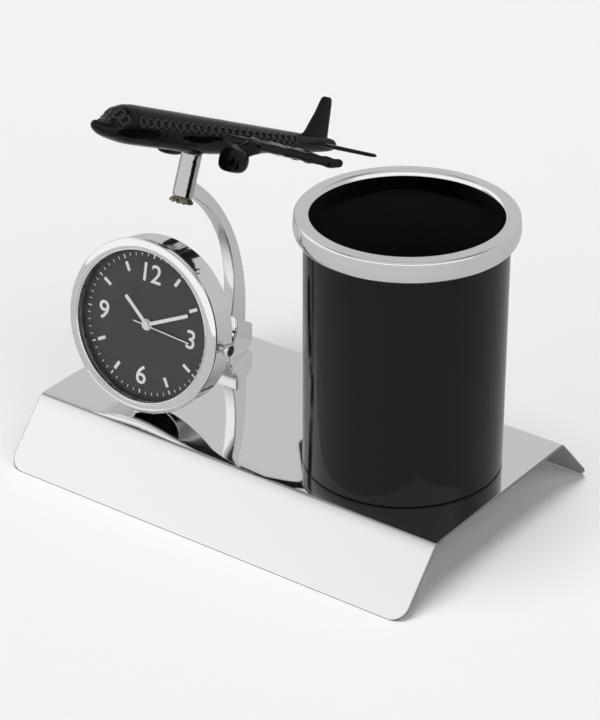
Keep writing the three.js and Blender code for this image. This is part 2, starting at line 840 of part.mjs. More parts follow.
// Fuselage with its fin, the pad that sits on the post, and room for the wing and tailplane
function fuselage() {
  const rings = fuselageShares.map(([along, top, keel, width]) => {
    const high = bodyTop * top;
    const low = -bodyKeel * keel;
    return Array.from({ length: smallSides }, (_, i) => {
      const angle = (i * 4 * quarter) / smallSides;
      const x = (bodyWidth / 2) * width * Math.sin(angle);
      const z = (high + low) / 2 + ((high - low) / 2) * Math.cos(angle);
      return new THREE.Vector3(x, along * bodyLength - bodyForward, z);
    });
  });
  const fin = finShares.map(([along, rise]) => [
    along * bodyLength - bodyForward,
    bodyTop + rise * finHeight,
  ]);
  const body = join(
    loft(rings),
    acrossX(polygon(fin), finThickness, 1),
    rod(padRadius, -padDrop, -padDrop / 2, 24).rotateX(bodyPitch).rotateY(bodyRoll),
  );
  const boreRadius = postScrewRadius + screwClearance;
  const boreTop = postScrewReach - padDrop + seatGap;
  const bore = rod(boreRadius, -padDrop - overrun, boreTop, smallSides)
    .rotateX(bodyPitch)
    .rotateY(bodyRoll);
  return cut(body, bore, sweptWing(wingSize, seatGap), sweptWing(tailSize, seatGap));
}

// An engine with an open intake, pointing at the nose
function nacelle(offset) {
  const outline = nacelleShares.map(([along, radius]) => [radius * nacelleRadius, along * nacelleLength]);
  const wall = [[0, intakeDepth], [intakeRadius, intakeDepth], [intakeRadius, 0]];
  const body = turned([...wall, ...outline, [0, nacelleLength]], smallSides).rotateX(-quarter);
  return body.translate(offset, -nacelleLead, -nacelleDrop);
}

function pylon(offset) {
  const share = Math.abs(offset) / wingHalfSpan;
  const wingAt = wingRise + (wingTipRise - wingRise) * share;
  const points = pylonShares.map(([along, height]) => [
    along * nacelleLength - nacelleLead,
    height * (wingAt + nacelleDrop) - nacelleDrop,
  ]);
  return acrossX(polygon(points), pylonWidth, 1).translate(offset, 0, 0);
}

// A flap fairing under the trailing edge
function fairing(share, side) {
  const trail = wingLead - wingChord + (wingTipLead - wingTipChord - wingLead + wingChord) * share;
  const rise = wingRise + (wingTipRise - wingRise) * share - wingThickness / 3;
  return new THREE.SphereGeometry(1, 8, 6)
    .scale(fairingRadius, fairingLength / 2, fairingRadius)
    .translate(side * share * wingHalfSpan, -trail - fairingLength / 4, rise);
}

function wing() {
  const sides = [-1, 1];
  const engines = sides.flatMap((side) => [nacelle(side * nacelleOffset), pylon(side * nacelleOffset)]);
  const fairings = sides.flatMap((side) => fairingShares.map((share) => fairing(share, side)));
  return join(sweptWing(wingSize, 0), ...engines, ...fairings);
}

function buildAirliner() {
  piece(airliner, "fuselage", fuselage(), glossBlack);
  piece(airliner, "wing", wing(), glossBlack);
  piece(airliner, "tailplane", sweptWing(tailSize, 0), glossBlack);
}

// Case: a drum with a ledge between its back and its insides, on a wedge that meets the base
function clockCase() {
  const shell = turned([
    [caseBore, 0],
    [caseRadius - caseEdge, 0],
    [caseRadius, caseEdge],
    [caseRadius, caseDepth],
    [caseBore + caseRebateWidth, caseDepth],
    [caseBore + caseRebateWidth, caseDepth - caseRebateDepth],
    [caseBore, caseDepth - caseRebateDepth],
    [caseBore, ledgeTop],
    [caseBore - ledgeWidth, ledgeTop],
    [caseBore - ledgeWidth, ledgeBottom],
    [caseBore, ledgeBottom],
    [caseBore, 0],
  ], roundSides);
  const drop = wedgeDepth * Math.tan(clockTilt);
  const wedgeTop = caseWall / 2 - caseRadius;
  const side = polygon([
    [-caseRadius, 0],
    [-caseRadius - drop, wedgeDepth],
    [wedgeTop, wedgeDepth],
    [wedgeTop, 0],
  ]);
  const wedge = acrossX(side, wedgeWidth, 1).rotateZ(clockRoll);
  const screwBore = clockScrewRadius + screwClearance;
  const screwHole = rod(screwBore, -overrun, clockScrewReach + screwClearance, smallSides)
    .translate(clockScrewPlace.x, clockScrewPlace.y, plateTop)
    .applyMatrix4(clock.matrixWorld.clone().invert());
  const tubeRoom = crownTubeRadius + screwClearance;
  const tubeHole = rod(tubeRoom, caseBore - overrun, caseRadius + overrun, smallSides)
    .rotateY(quarter)
    .translate(0, 0, stemHeight);
  return cut(join(shell, wedge), screwHole, tubeHole);
}

// Bezel: a domed ring that plugs into the case's rebate and holds the crystal
function bezel() {
  const spigot = caseBore + caseRebateWidth - seatGap;
  const domeStart = bezelBottom + bezelEdge;
  const domeInner = lipRadius + lipThickness;
  const shape = new THREE.Shape();
  shape.moveTo(caseBore, caseDepth - caseRebateDepth + seatGap);
  shape.lineTo(spigot, caseDepth - caseRebateDepth + seatGap);
  shape.lineTo(spigot, bezelBottom);
  shape.lineTo(bezelRadius - bezelEdge, bezelBottom);
  shape.lineTo(bezelRadius, domeStart);
  const domeWidth = bezelRadius - domeInner;
  shape.absellipse(domeInner, domeStart, domeWidth, lipHeight - domeStart, 0, quarter, false, 0);
  shape.lineTo(lipRadius, lipHeight - lipThickness / 2);
  shape.lineTo(lipRadius, lipUnderside);
  shape.lineTo(caseBore, lipUnderside);
  shape.closePath();
  return new THREE.LatheGeometry(shape.getPoints(3), roundSides).rotateX(quarter);
}

// Holder: two walls joined by a web, which centres the movement in the case
function movementHolder() {
  const inner = movementRadius + seatGap;
  const webBottom = holderTop - holderWeb;
  const body = turned([
    [inner, holderBottom],
    [inner + holderWall, holderBottom],
    [inner + holderWall, webBottom],
    [insertRadius - holderWall, webBottom],
    [insertRadius - holderWall, holderBottom],
    [insertRadius, holderBottom],
    [insertRadius, holderTop],
    [inner, holderTop],
    [inner, holderBottom],
  ], roundSides);
  return cut(body, rod(stemBore, stemReach, caseRadius, 12).rotateY(quarter).translate(0, 0, stemHeight));
}

function dialPinPlaces() {
  const away = motionAngle - quarter;
  return [away, away + 2 * quarter].map((angle) => [
    dialPinReach * Math.cos(angle),
    dialPinReach * Math.sin(angle),
  ]);
}

function dial() {
  const disc = ring(dialHoleRadius, insertRadius, dialBottom, dialHeight, roundSides);
  const pinTop = dialHeight - dialThickness / 2;
  const pins = dialPinPlaces().map(([x, y]) =>
    rod(dialPinRadius, dialBottom - dialPinLength, pinTop, 10).translate(x, y, 0));
  return join(disc, ...pins);
}

function buildCase() {
  piece(clock, "clock_case", clockCase(), mirrorChrome);
  piece(clock, "bezel", bezel(), mirrorChrome);
  piece(clock, "crystal", rod(insertRadius, crystalBottom, crystalTop, roundSides), clearPane);
  piece(clock, "dial", dial(), dialGrey);
  const wall = ring(lipRadius, insertRadius, dialHeight + stackGap, crystalBottom - stackGap, roundSides);
  piece(clock, "dial_ring", wall, steel);
  piece(clock, "movement_holder", movementHolder(), blackPlastic);
  piece(clock, "case_back", rod(insertRadius, seatGap, backTop, roundSides), blackPlastic);

  const headSeat = underside - faceGap;
  const shank = clockScrewReach - headSeat;
  const fastener = screw(clockScrewHeadRadius, clockScrewHeadHeight, clockScrewRadius, shank);
  piece(assembly, "clock_screw", fastener, steel)
    .position.set(clockScrewPlace.x, clockScrewPlace.y, plateTop + headSeat);
}

// Main plate: carries the centre tube, the minute wheel's post, and the stem in a channel
function mainPlate() {
  const disc = rod(movementRadius, mainPlateBottom, mainPlateHeight, roundSides);
  const tube = rod(tubeRadius, mainPlateBottom, minuteHandBottom, 16);
  const wheelPost = rod(motionPostRadius, mainPlateBottom, hourWheelTop, 12)
    .translate(motionReach * Math.cos(motionAngle), motionReach * Math.sin(motionAngle), 0);
  const channelTop = stemHeight + stemBore;
  const channel = block(
    new THREE.Vector3(stemReach - screwClearance, -stemBore, mainPlateBottom - overrun),
    new THREE.Vector3(movementRadius + overrun, stemBore, channelTop),
  );
  const leverRoom = leverWidth / 2 + screwClearance;
  const pocket = block(
    new THREE.Vector3(leverStart - screwClearance, -leverRoom, mainPlateBottom - overrun),
    new THREE.Vector3(leverStart + leverThickness + crownTravel + screwClearance, leverRoom, channelTop),
  );
  const pinBore = dialPinRadius + screwClearance;
  const pinHoles = dialPinPlaces().map(([x, y]) =>
    rod(pinBore, mainPlateBottom - overrun, mainPlateHeight + overrun, 12).translate(x, y, 0));
  const bore = rod(tubeBore, mainPlateBottom - overrun, minuteHandBottom + overrun, 16);
  return cut(join(disc, tube, wheelPost), bore, channel, pocket, ...pinHoles);
}

// Cover: a shallow tray that closes the movement from behind
function movementCover() {
  const outer = movementRadius - seatGap;
  const wall = coverThickness;
  return turned([
    [0, coverBottom],
    [outer, coverBottom],
    [outer, mainPlateBottom - stackGap],
    [outer - wall, mainPlateBottom - stackGap],
    [outer - wall, coverTop],
    [0, coverTop],
  ], roundSides);
}

// Battery clip: a blade beside the battery with a foot under the main plate
function batteryClip() {
  const start = batteryRadius + stackGap;
  const blade = block(
    new THREE.Vector3(start, -clipWidth / 2, batteryBottom + stackGap),
    new THREE.Vector3(start + clipThickness, clipWidth / 2, batteryTop),
  );
  const foot = block(
    new THREE.Vector3(start, -clipWidth / 2, batteryTop - clipThickness),
    new THREE.Vector3(start + clipLength, clipWidth / 2, batteryTop),
  );
  return join(blade, foot)
    .rotateZ(clipAngle)
    .translate(batteryReach * Math.cos(batteryAngle), batteryReach * Math.sin(batteryAngle), 0);
}

function coil() {
  const half = coilLength / 2;
  const flange = coilLength / 12;
  return turned([
    [0, -half - flange],
    [coilCoreRadius, -half - flange],
    [coilCoreRadius, -half],
    [coilRadius, -half],
    [coilRadius, flange - half],
    [coilWireRadius, flange - half],
    [coilWireRadius, half - flange],
    [coilRadius, half - flange],
    [coilRadius, half],
    [coilCoreRadius, half],
    [coilCoreRadius, half + flange],
    [0, half + flange],
  ], 16).rotateY(quarter).translate(0, -coilReach, batteryTop - coilRadius);
}

function circuitBoard() {
  const boardBottom = batteryTop - boardThickness;
  const board = block(
    new THREE.Vector3(-boardLength / 2, -boardWidth / 2, boardBottom),
    new THREE.Vector3(boardLength / 2, boardWidth / 2, batteryTop),
  );
  const chip = block(
    new THREE.Vector3(-chipSize / 2, -chipSize / 2, boardBottom - chipThickness),
    new THREE.Vector3(chipSize / 2, chipSize / 2, batteryTop - boardThickness / 2),
  );
  return join(board, chip).translate(boardLength / 4, boardReach, 0);
}

function gear(teeth, module, phase, low, high) {
  const pitchRadius = (teeth * module) / 2;
  const root = pitchRadius - toothDepth * (1 - addendumShare);
  const points = Array.from({ length: teeth }, (_, i) => i).flatMap((i) =>
    toothShares.map(([place, height]) => {
      const angle = phase + ((i + place) * 4 * quarter) / teeth;
      const radius = root + toothDepth * height;
      return [radius * Math.cos(angle), radius * Math.sin(angle)];
    }));
  return slab(polygon(points), low, high, 1);
}

function bored(geometry, radius) {
  return cut(geometry, rod(radius, -overrun, lipHeight + overrun, 16));
}

function cannonPinion() {
  const leaves = gear(cannonTeeth, fastModule, motionAngle, motionBottom, minuteWheelTop);
  return bored(join(leaves, rod(cannonRadius, motionBottom, minuteHandTop, smallSides)), cannonBore);
}

function hourWheel() {
  const phase = motionAngle + (2 * quarter) / hourWheelTeeth;
  const teeth = gear(hourWheelTeeth, slowModule, phase, hourWheelBottom, hourWheelTop);
  return bored(join(teeth, rod(hourPipeRadius, hourWheelBottom, hourHandTop, smallSides)), hourBore);
}

function minuteWheel() {
  const facing = motionAngle + 2 * quarter;
  const halfTooth = (2 * quarter) / minuteWheelTeeth;
  const wheel = gear(minuteWheelTeeth, fastModule, facing + halfTooth, motionBottom, minuteWheelTop);
  const pinionBottom = minuteWheelTop - wheelThickness / 2;
  const pinion = gear(minutePinionTeeth, slowModule, facing, pinionBottom, hourWheelTop);
  return bored(join(wheel, pinion), motionPostRadius + pivotGap);
}

function secondWheel() {
  const wheelTop = batteryTop - stackGap;
  const arbor = rod(arborRadius, coverTop + stackGap, secondHandTop, 16);
  return join(rod(secondWheelRadius, wheelTop - secondWheelThickness, wheelTop, 32), arbor);
}

// A hand that points from its hub to its angle, clockwise from twelve
function hand({ length, tail, width, angle, bore, wall, low }) {
  const half = width / 2;
  const shape = new THREE.Shape();
  shape.moveTo(-half, -tail);
  shape.lineTo(half, -tail);
  shape.absarc(0, length - half, half, 0, 2 * quarter, false);
  shape.closePath();
  const high = low + handThickness;
  const blank = join(slab(shape, low, high, 4), rod(bore + wall, low, high, 28));
  return bored(blank, bore).rotateZ(-angle);
}

function buildMovement() {
  piece(clock, "main_plate", mainPlate(), palePlastic);
  piece(clock, "movement_cover", movementCover(), steel);
  const cell = rod(batteryRadius, batteryBottom, batteryTop, 32)
    .translate(batteryReach * Math.cos(batteryAngle), batteryReach * Math.sin(batteryAngle), 0);
  piece(clock, "battery", cell, steel);
  piece(clock, "battery_clip", batteryClip(), brass);
  piece(clock, "coil", coil(), copperWire);
  piece(clock, "circuit_board", circuitBoard(), boardGreen);
  piece(clock, "second_wheel", secondWheel(), palePlastic);
  piece(clock, "cannon_pinion", cannonPinion(), brass);
  piece(clock, "hour_wheel", hourWheel(), palePlastic);
  piece(clock, "minute_wheel", minuteWheel(), palePlastic)
    .position.set(motionReach * Math.cos(motionAngle), motionReach * Math.sin(motionAngle), 0);
}

function buildHands() {
  const hourHand = hand({
    length: hourHandLength,
    tail: 0,
    width: hourHandWidth,
    angle: hourHandAngle,
    bore: hourPipeRadius + handFit,
    wall: hubWall,
    low: hourHandBottom,
  });
  const minuteHand = hand({
    length: minuteHandLength,
    tail: 0,
    width: minuteHandWidth,
    angle: minuteHandAngle,
    bore: cannonRadius + handFit,
    wall: hubWall,
    low: minuteHandBottom,
  });
  const secondHand = hand({
    length: secondHandLength,
    tail: secondHandTail,
    width: secondHandWidth,
    angle: secondHandAngle,
    bore: arborRadius + handFit,
    wall: secondHubWall,
    low: secondHandBottom,
  });
  piece(clock, "hour_hand", hourHand, handGrey);
  piece(clock, "minute_hand", minuteHand, handGrey);
  piece(clock, "second_hand", secondHand, handGrey);
}

// Crown: knurled round its rim, with a bore for the stem's end
function crown() {
  const points = Array.from({ length: 2 * crownKnurls }, (_, i) => {
    const radius = crownRadius - (i % 2) * knurlDepth;
    const angle = (i * 2 * quarter) / crownKnurls;
    return [radius * Math.cos(angle), radius * Math.sin(angle)];
  });
  const bore = rod(stemBore, crownStart - overrun, crownStart + stemGrip + screwClearance, 12);
  return cut(slab(polygon(points), crownStart, crownEnd, 1), bore).rotateY(quarter);
}

function stem() {
  const neckEnd = neckStart + stemNeckLength;
  return turned([
    [0, stemReach],
    [stemRadius, stemReach],
    [stemRadius, neckStart],
    [stemNeckRadius, neckStart],
    [stemNeckRadius, neckEnd],
    [stemRadius, neckEnd],
    [stemRadius, crownStart + stemGrip],
    [0, crownStart + stemGrip],
  ], 14).rotateY(quarter);
}

// Setting lever: a fork that stands in the stem's neck
function settingLever() {
  const fork = stemNeckRadius + screwClearance / 2;
  const top = stemRadius;
  const shape = polygon([
    [-leverWidth / 2, top - leverHeight],
    [leverWidth / 2, top - leverHeight],
    [leverWidth / 2, top],
    [fork, top],
    [fork, -fork],
    [-fork, -fork],
    [-fork, top],
    [-leverWidth / 2, top],
  ]);
  return acrossX(shape, leverThickness, 1).translate(leverStart + leverThickness / 2, 0, 0);
}

function buildCrown() {
  piece(clock, "crown", crown(), mirrorChrome).position.z = stemHeight;
  piece(clock, "stem", stem(), steel).position.z = stemHeight;
  piece(clock, "setting_lever", settingLever(), steel).position.z = stemHeight;
  const tube = ring(stemBore, crownTubeRadius, caseBore, crownStart - seatGap, smallSides).rotateY(quarter);
  piece(clock, "crown_tube", tube, steel).position.z = stemHeight;
}

piece(assembly, "base_plate", basePlate(), mirrorChrome);
buildCup();
buildStand();
buildAirliner();
buildCase();
buildMovement();
buildHands();
buildCrown();

const bounds = new THREE.Box3().setFromObject(assembly, true);
const middle = bounds.getCenter(new THREE.Vector3());
assembly.position.set(-middle.x, -middle.y, -bounds.min.z);

const penHolderClock = new THREE.Group();
penHolderClock.add(assembly);

export default penHolderClock;
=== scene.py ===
# Pen holder clock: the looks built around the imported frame.
import json
import math

import bmesh
import bpy
import numpy as np
from mathutils import Matrix, Vector, noise
from mathutils.bvhtree import BVHTree
from mathutils.kdtree import KDTree


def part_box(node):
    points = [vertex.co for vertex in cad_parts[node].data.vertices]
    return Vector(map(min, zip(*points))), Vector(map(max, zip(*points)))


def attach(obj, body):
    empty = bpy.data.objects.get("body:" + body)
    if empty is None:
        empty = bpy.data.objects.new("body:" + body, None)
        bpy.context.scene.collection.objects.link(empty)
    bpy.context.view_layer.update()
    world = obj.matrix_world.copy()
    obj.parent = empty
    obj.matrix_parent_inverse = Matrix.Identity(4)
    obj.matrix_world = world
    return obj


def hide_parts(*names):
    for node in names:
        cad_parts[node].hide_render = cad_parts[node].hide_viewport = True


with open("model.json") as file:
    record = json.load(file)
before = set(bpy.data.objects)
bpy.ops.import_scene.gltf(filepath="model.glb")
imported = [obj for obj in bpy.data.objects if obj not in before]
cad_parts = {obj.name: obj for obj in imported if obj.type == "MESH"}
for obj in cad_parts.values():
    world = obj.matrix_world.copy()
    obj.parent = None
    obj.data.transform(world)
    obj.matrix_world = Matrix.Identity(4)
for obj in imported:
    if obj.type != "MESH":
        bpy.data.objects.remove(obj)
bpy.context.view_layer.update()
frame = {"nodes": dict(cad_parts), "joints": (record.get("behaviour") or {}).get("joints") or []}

# Base plate: one steel sheet, plated and mirror polished, bent twice so that a flat top
# stands on two sloping skirts with round lower corners. Its edges are lightly broken.
mm = 0.001
plate_low, plate_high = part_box("base_plate")
plate_middle = (plate_low + plate_high) / 2
plate_half = (plate_high.x - plate_low.x) / 2
plate_height = plate_high.z - plate_low.z
sheet_thickness = 1.2 * mm
bend_radius = 2.2 * mm
skirt_angle = math.radians(47.8)
eased_turn = math.radians(6)
eased_length = 5 * mm
skirt_corner = 7 * mm
broken_edge = 0.55 * mm
bend_steps, eased_steps, corner_steps, edge_steps = 14, 10, 14, 4
dull_edge_and_shade_mark = "cut_edge"
flat_tolerance = 0.01 * mm
as_made = Matrix.Identity(4)


def to_linear(hex_colour):
    """sRGB hex to the linear colour that a shader takes."""
    channels = [int(hex_colour[i:i + 2], 16) / 255 for i in (1, 3, 5)]
    linear = [c / 12.92 if c <= 0.04045 else ((c + 0.055) / 1.055) ** 2.4 for c in channels]
    return (*linear, 1)


def add_node(tree, kind, inputs, **settings):
    """Adds a node; an input is a value, an sRGB hex, a socket, or a node's first output."""
    node = tree.nodes.new(kind)
    for name, value in settings.items():
        setattr(node, name, value)
    for name, value in inputs.items():
        if isinstance(value, bpy.types.Node):
            value = value.outputs[0]
        if isinstance(value, bpy.types.NodeSocket):
            tree.links.new(value, node.inputs[name])
        else:
            node.inputs[name].default_value = to_linear(value) if isinstance(value, str) else value
    return node


def patch(tree, place, size, detail, low, high):
    """A noise of the given real size, spread between two values."""
    cloud = add_node(tree, "ShaderNodeTexNoise", {
        "Vector": place, "Scale": 1 / size, "Detail": detail, "Roughness": 0.55})
    return add_node(tree, "ShaderNodeMapRange", {
        "Value": cloud, "From Min": 0.3, "From Max": 0.7,
        "To Min": low, "To Max": high})


def resolved(tree, place, value):
    """What an input takes: a list as a patch, what a function gives, or the value itself."""
    if isinstance(value, list):
        return patch(tree, place, *value)
    return value(tree, place) if callable(value) else value


def blank_finish(name):
    """An empty material, with its tree and the object's own coordinates."""
    finish = bpy.data.materials.new(name)
    finish.use_nodes = True
    finish.node_tree.nodes.clear()
    place = add_node(finish.node_tree, "ShaderNodeTexCoord", {}).outputs["Object"]
    return finish, finish.node_tree, place


def new_finish(name, colour, metal, roughness, relief=None, depth=0, **more):
    """A material on one shader, with a relief of the given depth; more names its other inputs."""
    finish, tree, place = blank_finish(name)
    inputs = {"Base Color": colour, "Metallic": metal, "Roughness": roughness}
    inputs.update({key.replace("_", " "): value for key, value in more.items()})
    inputs = {key: resolved(tree, place, value) for key, value in inputs.items()}
    if relief:
        inputs["Normal"] = add_node(tree, "ShaderNodeBump", {
            "Height": resolved(tree, place, relief), "Distance": depth,
            "Strength": 1})
    surface = add_node(tree, "ShaderNodeBsdfPrincipled", inputs)
    add_node(tree, "ShaderNodeOutputMaterial", {"Surface": surface})
    return finish


def plate_colour_with_painted_edge_shade(tree, place):
    edge = add_node(tree, "ShaderNodeAttribute", {}, attribute_name=dull_edge_and_shade_mark)
    # Painted shade: the edge band is given a darker grey, for the shaded floor that it reflects.
    return add_node(tree, "ShaderNodeMix", {
        0: edge.outputs["Fac"], 6: "#F3F3F3", 7: "#969696"}, data_type="RGBA").outputs[2]


def plate_roughness(tree, place):
    edge = add_node(tree, "ShaderNodeAttribute", {}, attribute_name=dull_edge_and_shade_mark)
    haze = patch(tree, place, 26 * mm, 3, 0.02, 0.05)
    return add_node(tree, "ShaderNodeMix", {0: edge.outputs["Fac"], 2: haze, 3: 0.22})


# Chrome plating on a polished sheet: a clear mirror. Handling leaves faint haze a few
# centimetres wide, rolling leaves a shallow wave 30 mm long, and the cut edge is duller and
# darker grey: partly bare cut steel, partly painted shade for the shaded floor that it reflects.
mirror_plate = new_finish(
    "mirror_polished_sheet", plate_colour_with_painted_edge_shade, 1, plate_roughness, [30 * mm, 0, 0, 1], 0.01 * mm)


def closed_mesh(points, faces):
    """A mesh without doubles, with its faces outward."""
    mesh = bpy.data.meshes.new("shell")
    mesh.from_pydata([tuple(p) for p in points], [], faces)
    shell = bmesh.new()
    shell.from_mesh(mesh)
    bmesh.ops.remove_doubles(shell, verts=shell.verts, dist=1e-7)
    bmesh.ops.recalc_face_normals(shell, faces=shell.faces)
    shell.to_mesh(mesh)
    shell.free()
    return mesh


def plain_mesh(holder):
    """The plain mesh of an object once its modifiers or its text are worked out."""
    bpy.context.scene.collection.objects.link(holder)
    bpy.context.view_layer.update()
    graph = bpy.context.evaluated_depsgraph_get()
    mesh = bpy.data.meshes.new_from_object(holder.evaluated_get(graph))
    bpy.data.objects.remove(holder)
    return mesh


def dressed(name, meshes, place, finish, body, replaced=None, sharp=30):
    """Joins meshes into a piece in its place, with flats kept flat, its material and its body."""
    whole = bmesh.new()
    for mesh in meshes:
        whole.from_mesh(mesh)
    mesh = bpy.data.meshes.new(name)
    whole.to_mesh(mesh)
    whole.free()
    mesh.transform(place)
    mesh.shade_smooth()
    mesh.set_sharp_from_angle(angle=math.radians(sharp))
    mesh.materials.append(finish)
    holder = bpy.data.objects.new("holder", mesh)
    even = holder.modifiers.new("even", "WEIGHTED_NORMAL")
    even.keep_sharp = True
    even.weight = 80
    piece = bpy.data.objects.new(name, plain_mesh(holder))
    bpy.context.scene.collection.objects.link(piece)
    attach(piece, body)
    if replaced:
        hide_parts(replaced)
    return piece


def bend_profile():
    """Turn of the outer face along the bend: an eased start, the arc itself, an eased end."""
    arc = bend_radius * (skirt_angle - 2 * eased_turn)
    rows = [(eased_length * i / eased_steps, eased_turn * (i / eased_steps) ** 2)
            for i in range(eased_steps)]
    rows += [(eased_length + arc * i / bend_steps,
              eased_turn + (skirt_angle - 2 * eased_turn) * i / bend_steps)
             for i in range(bend_steps)]
    rows += [(eased_length + arc + eased_length * i / eased_steps,
              skirt_angle - eased_turn * (1 - i / eased_steps) ** 2)
             for i in range(eased_steps + 1)]
    return rows


def plate_path():
    """The outer face from the front edge to the rear edge: distance, place, outward normal."""
    bend = bend_profile()
    spots = [Vector((0, 0, 0))]
    for (far, turn), (next_far, next_turn) in zip(bend, bend[1:]):
        mean = (turn + next_turn) / 2
        spots.append(spots[-1] + Vector((0, -math.cos(mean), -math.sin(mean))) * (next_far - far))
    skirt_length = (plate_height + spots[-1].z) / math.sin(skirt_angle)
    slope = Vector((0, math.cos(skirt_angle), math.sin(skirt_angle)))
    start = Vector((plate_middle.x, plate_low.y, plate_low.z))
    out = Vector((0, -math.sin(skirt_angle), math.cos(skirt_angle)))
    corner = [skirt_corner * (1 - math.cos(math.pi / 2 * i / corner_steps))
              for i in range(corner_steps + 1)]
    rows = [(far, start + slope * far, out) for far in corner + [skirt_length]]
    shift = rows[-1][1] - spots[-1]
    for (far, turn), spot in reversed(list(zip(bend, spots))[:-1]):
        normal = Vector((0, -math.sin(turn), math.cos(turn)))
        rows.append((skirt_length + bend[-1][0] - far, spot + shift, normal))
    total = 2 * rows[-1][0] + 2 * (plate_middle.y - rows[-1][1].y)
    for far, point, normal in reversed(rows[:]):
        mirrored = Vector((point.x, 2 * plate_middle.y - point.y, point.z))
        rows.append((total - far, mirrored, normal * Vector((1, -1, 1))))
    return rows, total


def plate_mesh():
    """Points and faces of the sheet, and how many points each of its two flat faces has."""
    rows, total = plate_path()
    outline = []
    for far, point, normal in rows:
        edge = min(far, total - far)
        lean = math.acos(max(0, 1 - edge / skirt_corner)) if edge < skirt_corner else math.pi / 2
        side = plate_half - skirt_corner * (1 - math.sin(lean))
        toward = -math.cos(lean) if far < total / 2 else math.cos(lean)
        outline.append((side, point, normal, math.sin(lean), toward))
    turns = [math.pi / 2 * i / edge_steps for i in range(edge_steps + 1)]
    edge_shape = [(broken_edge * (1 - math.sin(t)), broken_edge * (1 - math.cos(t))) for t in turns]
    edge_shape += [(inset, sheet_thickness - depth) for inset, depth in reversed(edge_shape)]
    points, faces = [], []
    for inset, depth in edge_shape:
        for sign in (1, -1):
            for side, point, normal, across, along in outline[::sign]:
                run = Vector((0, normal.z, -normal.y))
                flat = point - normal * depth - run * (along * inset)
                short = max(0, plate_low.z - flat.z)
                flat += Vector((0, math.copysign(short / math.tan(skirt_angle), -along), short))
                points.append(flat + Vector((sign * (side - across * inset), 0, 0)))
    ring = 2 * len(outline)
    rows = len(edge_shape) - 1
    for start in range(0, rows * ring, ring):
        for i in range(ring):
            j = (i + 1) % ring
            faces.append((start + i, start + j, start + ring + j, start + ring + i))
    for start in (0, rows * ring):
        for i in range(len(outline) - 1):
            faces.append((start + i, start + i + 1, start + ring - 2 - i, start + ring - 1 - i))
    return points, faces, ring


points, faces, ring = plate_mesh()
base = dressed("mirror_base", [closed_mesh(points, faces)], as_made, mirror_plate,
               "body", "base_plate")
flats = KDTree(2 * ring)
for i, p in enumerate(points[:ring] + points[-ring:]):
    flats.insert(p, i)
flats.balance()
# Flags the edge band, which is duller and painted darker as painted shade.
dull_edge_and_shade_flags = base.data.attributes.new(dull_edge_and_shade_mark, "FLOAT", "POINT")
for vertex in base.data.vertices:
    dull_edge_and_shade_flags.data[vertex.index].value = float(flats.find(vertex.co)[2] > flat_tolerance)

# Pen cup: a drawn steel tube with a floor, stove-enamelled gloss black inside and out.
# It stands flat on the plate, held by a screw through its floor.
cup_low, cup_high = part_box("cup_body")
cup_x, cup_y = (cup_low.x + cup_high.x) / 2, (cup_low.y + cup_high.y) / 2
cup_radius = (cup_high.x - cup_low.x) / 2
cup_height = cup_high.z - cup_low.z
cup_wall = 1 * mm
cup_inner = cup_radius - cup_wall
cup_floor = 1.2 * mm
cup_corner = 0.9 * mm
cup_hole = 2.15 * mm
around = 160


def enamel_colour_with_painted_inside_light(tree, place):
    """Black outside; inside the tube a lighter grey is painted as painted light that reaches into
    the cup.
    """
    spoke = add_node(tree, "ShaderNodeVectorMath", {
        0: place, 1: (1, 1, 0), 2: (-cup_x, -cup_y, 0)}, operation="MULTIPLY_ADD")
    reach = add_node(tree, "ShaderNodeVectorMath", {0: spoke}, operation="LENGTH")
    inside = add_node(tree, "ShaderNodeMapRange", {
        "Value": reach.outputs["Value"], "From Min": cup_radius - 0.6 * cup_wall,
        "From Max": cup_radius - 0.4 * cup_wall, "To Min": 1, "To Max": 0})
    return add_node(tree, "ShaderNodeMix", {
        0: inside, 6: "#0D0D0E", 7: "#212122"}, data_type="RGBA").outputs[2]


# Stove enamel: black with a wet gloss, and a faint orange peel 4 mm wide. Inside the tube it
# is painted a lighter grey, as painted light.
black_enamel = new_finish(
    "gloss_black_enamel", enamel_colour_with_painted_inside_light, 0, [18 * mm, 2, 0.08, 0.13],
    [4 * mm, 1, 0, 1], 0.004 * mm, Specular_IOR_Level=0.24)


def rounded(corners, steps=6):
    """A closed outline from (x, y, radius) corners, each one rounded by an arc."""
    outline = []
    for i, (x, y, radius) in enumerate(corners):
        here = Vector((x, y))
        before = (Vector(corners[i - 1][:2]) - here).normalized()
        after = (Vector(corners[(i + 1) % len(corners)][:2]) - here).normalized()
        if radius <= 0:
            outline.append((x, y))
            continue
        half = before.angle(after) / 2
        reach = radius / math.tan(half)
        centre = here + (before + after).normalized() * (radius / math.sin(half))
        start, end = here + before * reach - centre, here + after * reach - centre
        for k in range(steps + 1):
            part = start.lerp(end, k / steps)
            spoke = start.slerp(end, k / steps) if start.angle(end) > 1e-4 else part
            outline.append(tuple(centre + spoke.normalized() * radius))
    return outline


def spun(outline, steps=around, closed=True):
    """Spins an outline of (radius, height) about Z into a closed mesh."""
    points, faces = [], []
    for i in range(steps):
        angle = 2 * math.pi * i / steps
        points += [Vector((radius * math.cos(angle), radius * math.sin(angle), height))
                   for radius, height in outline]
    count = len(outline)
    for i in range(steps):
        after = (i + 1) % steps
        for k in range(count if closed else count - 1):
            m = (k + 1) % count
            ring = [i * count + k, after * count + k, after * count + m, i * count + m]
            if outline[k][0] < 1e-9:
                ring = [ring[0], ring[2], ring[3]]
            elif outline[m][0] < 1e-9:
                ring = [ring[0], ring[1], ring[2]]
            faces.append(tuple(ring))
    return closed_mesh(points, faces)


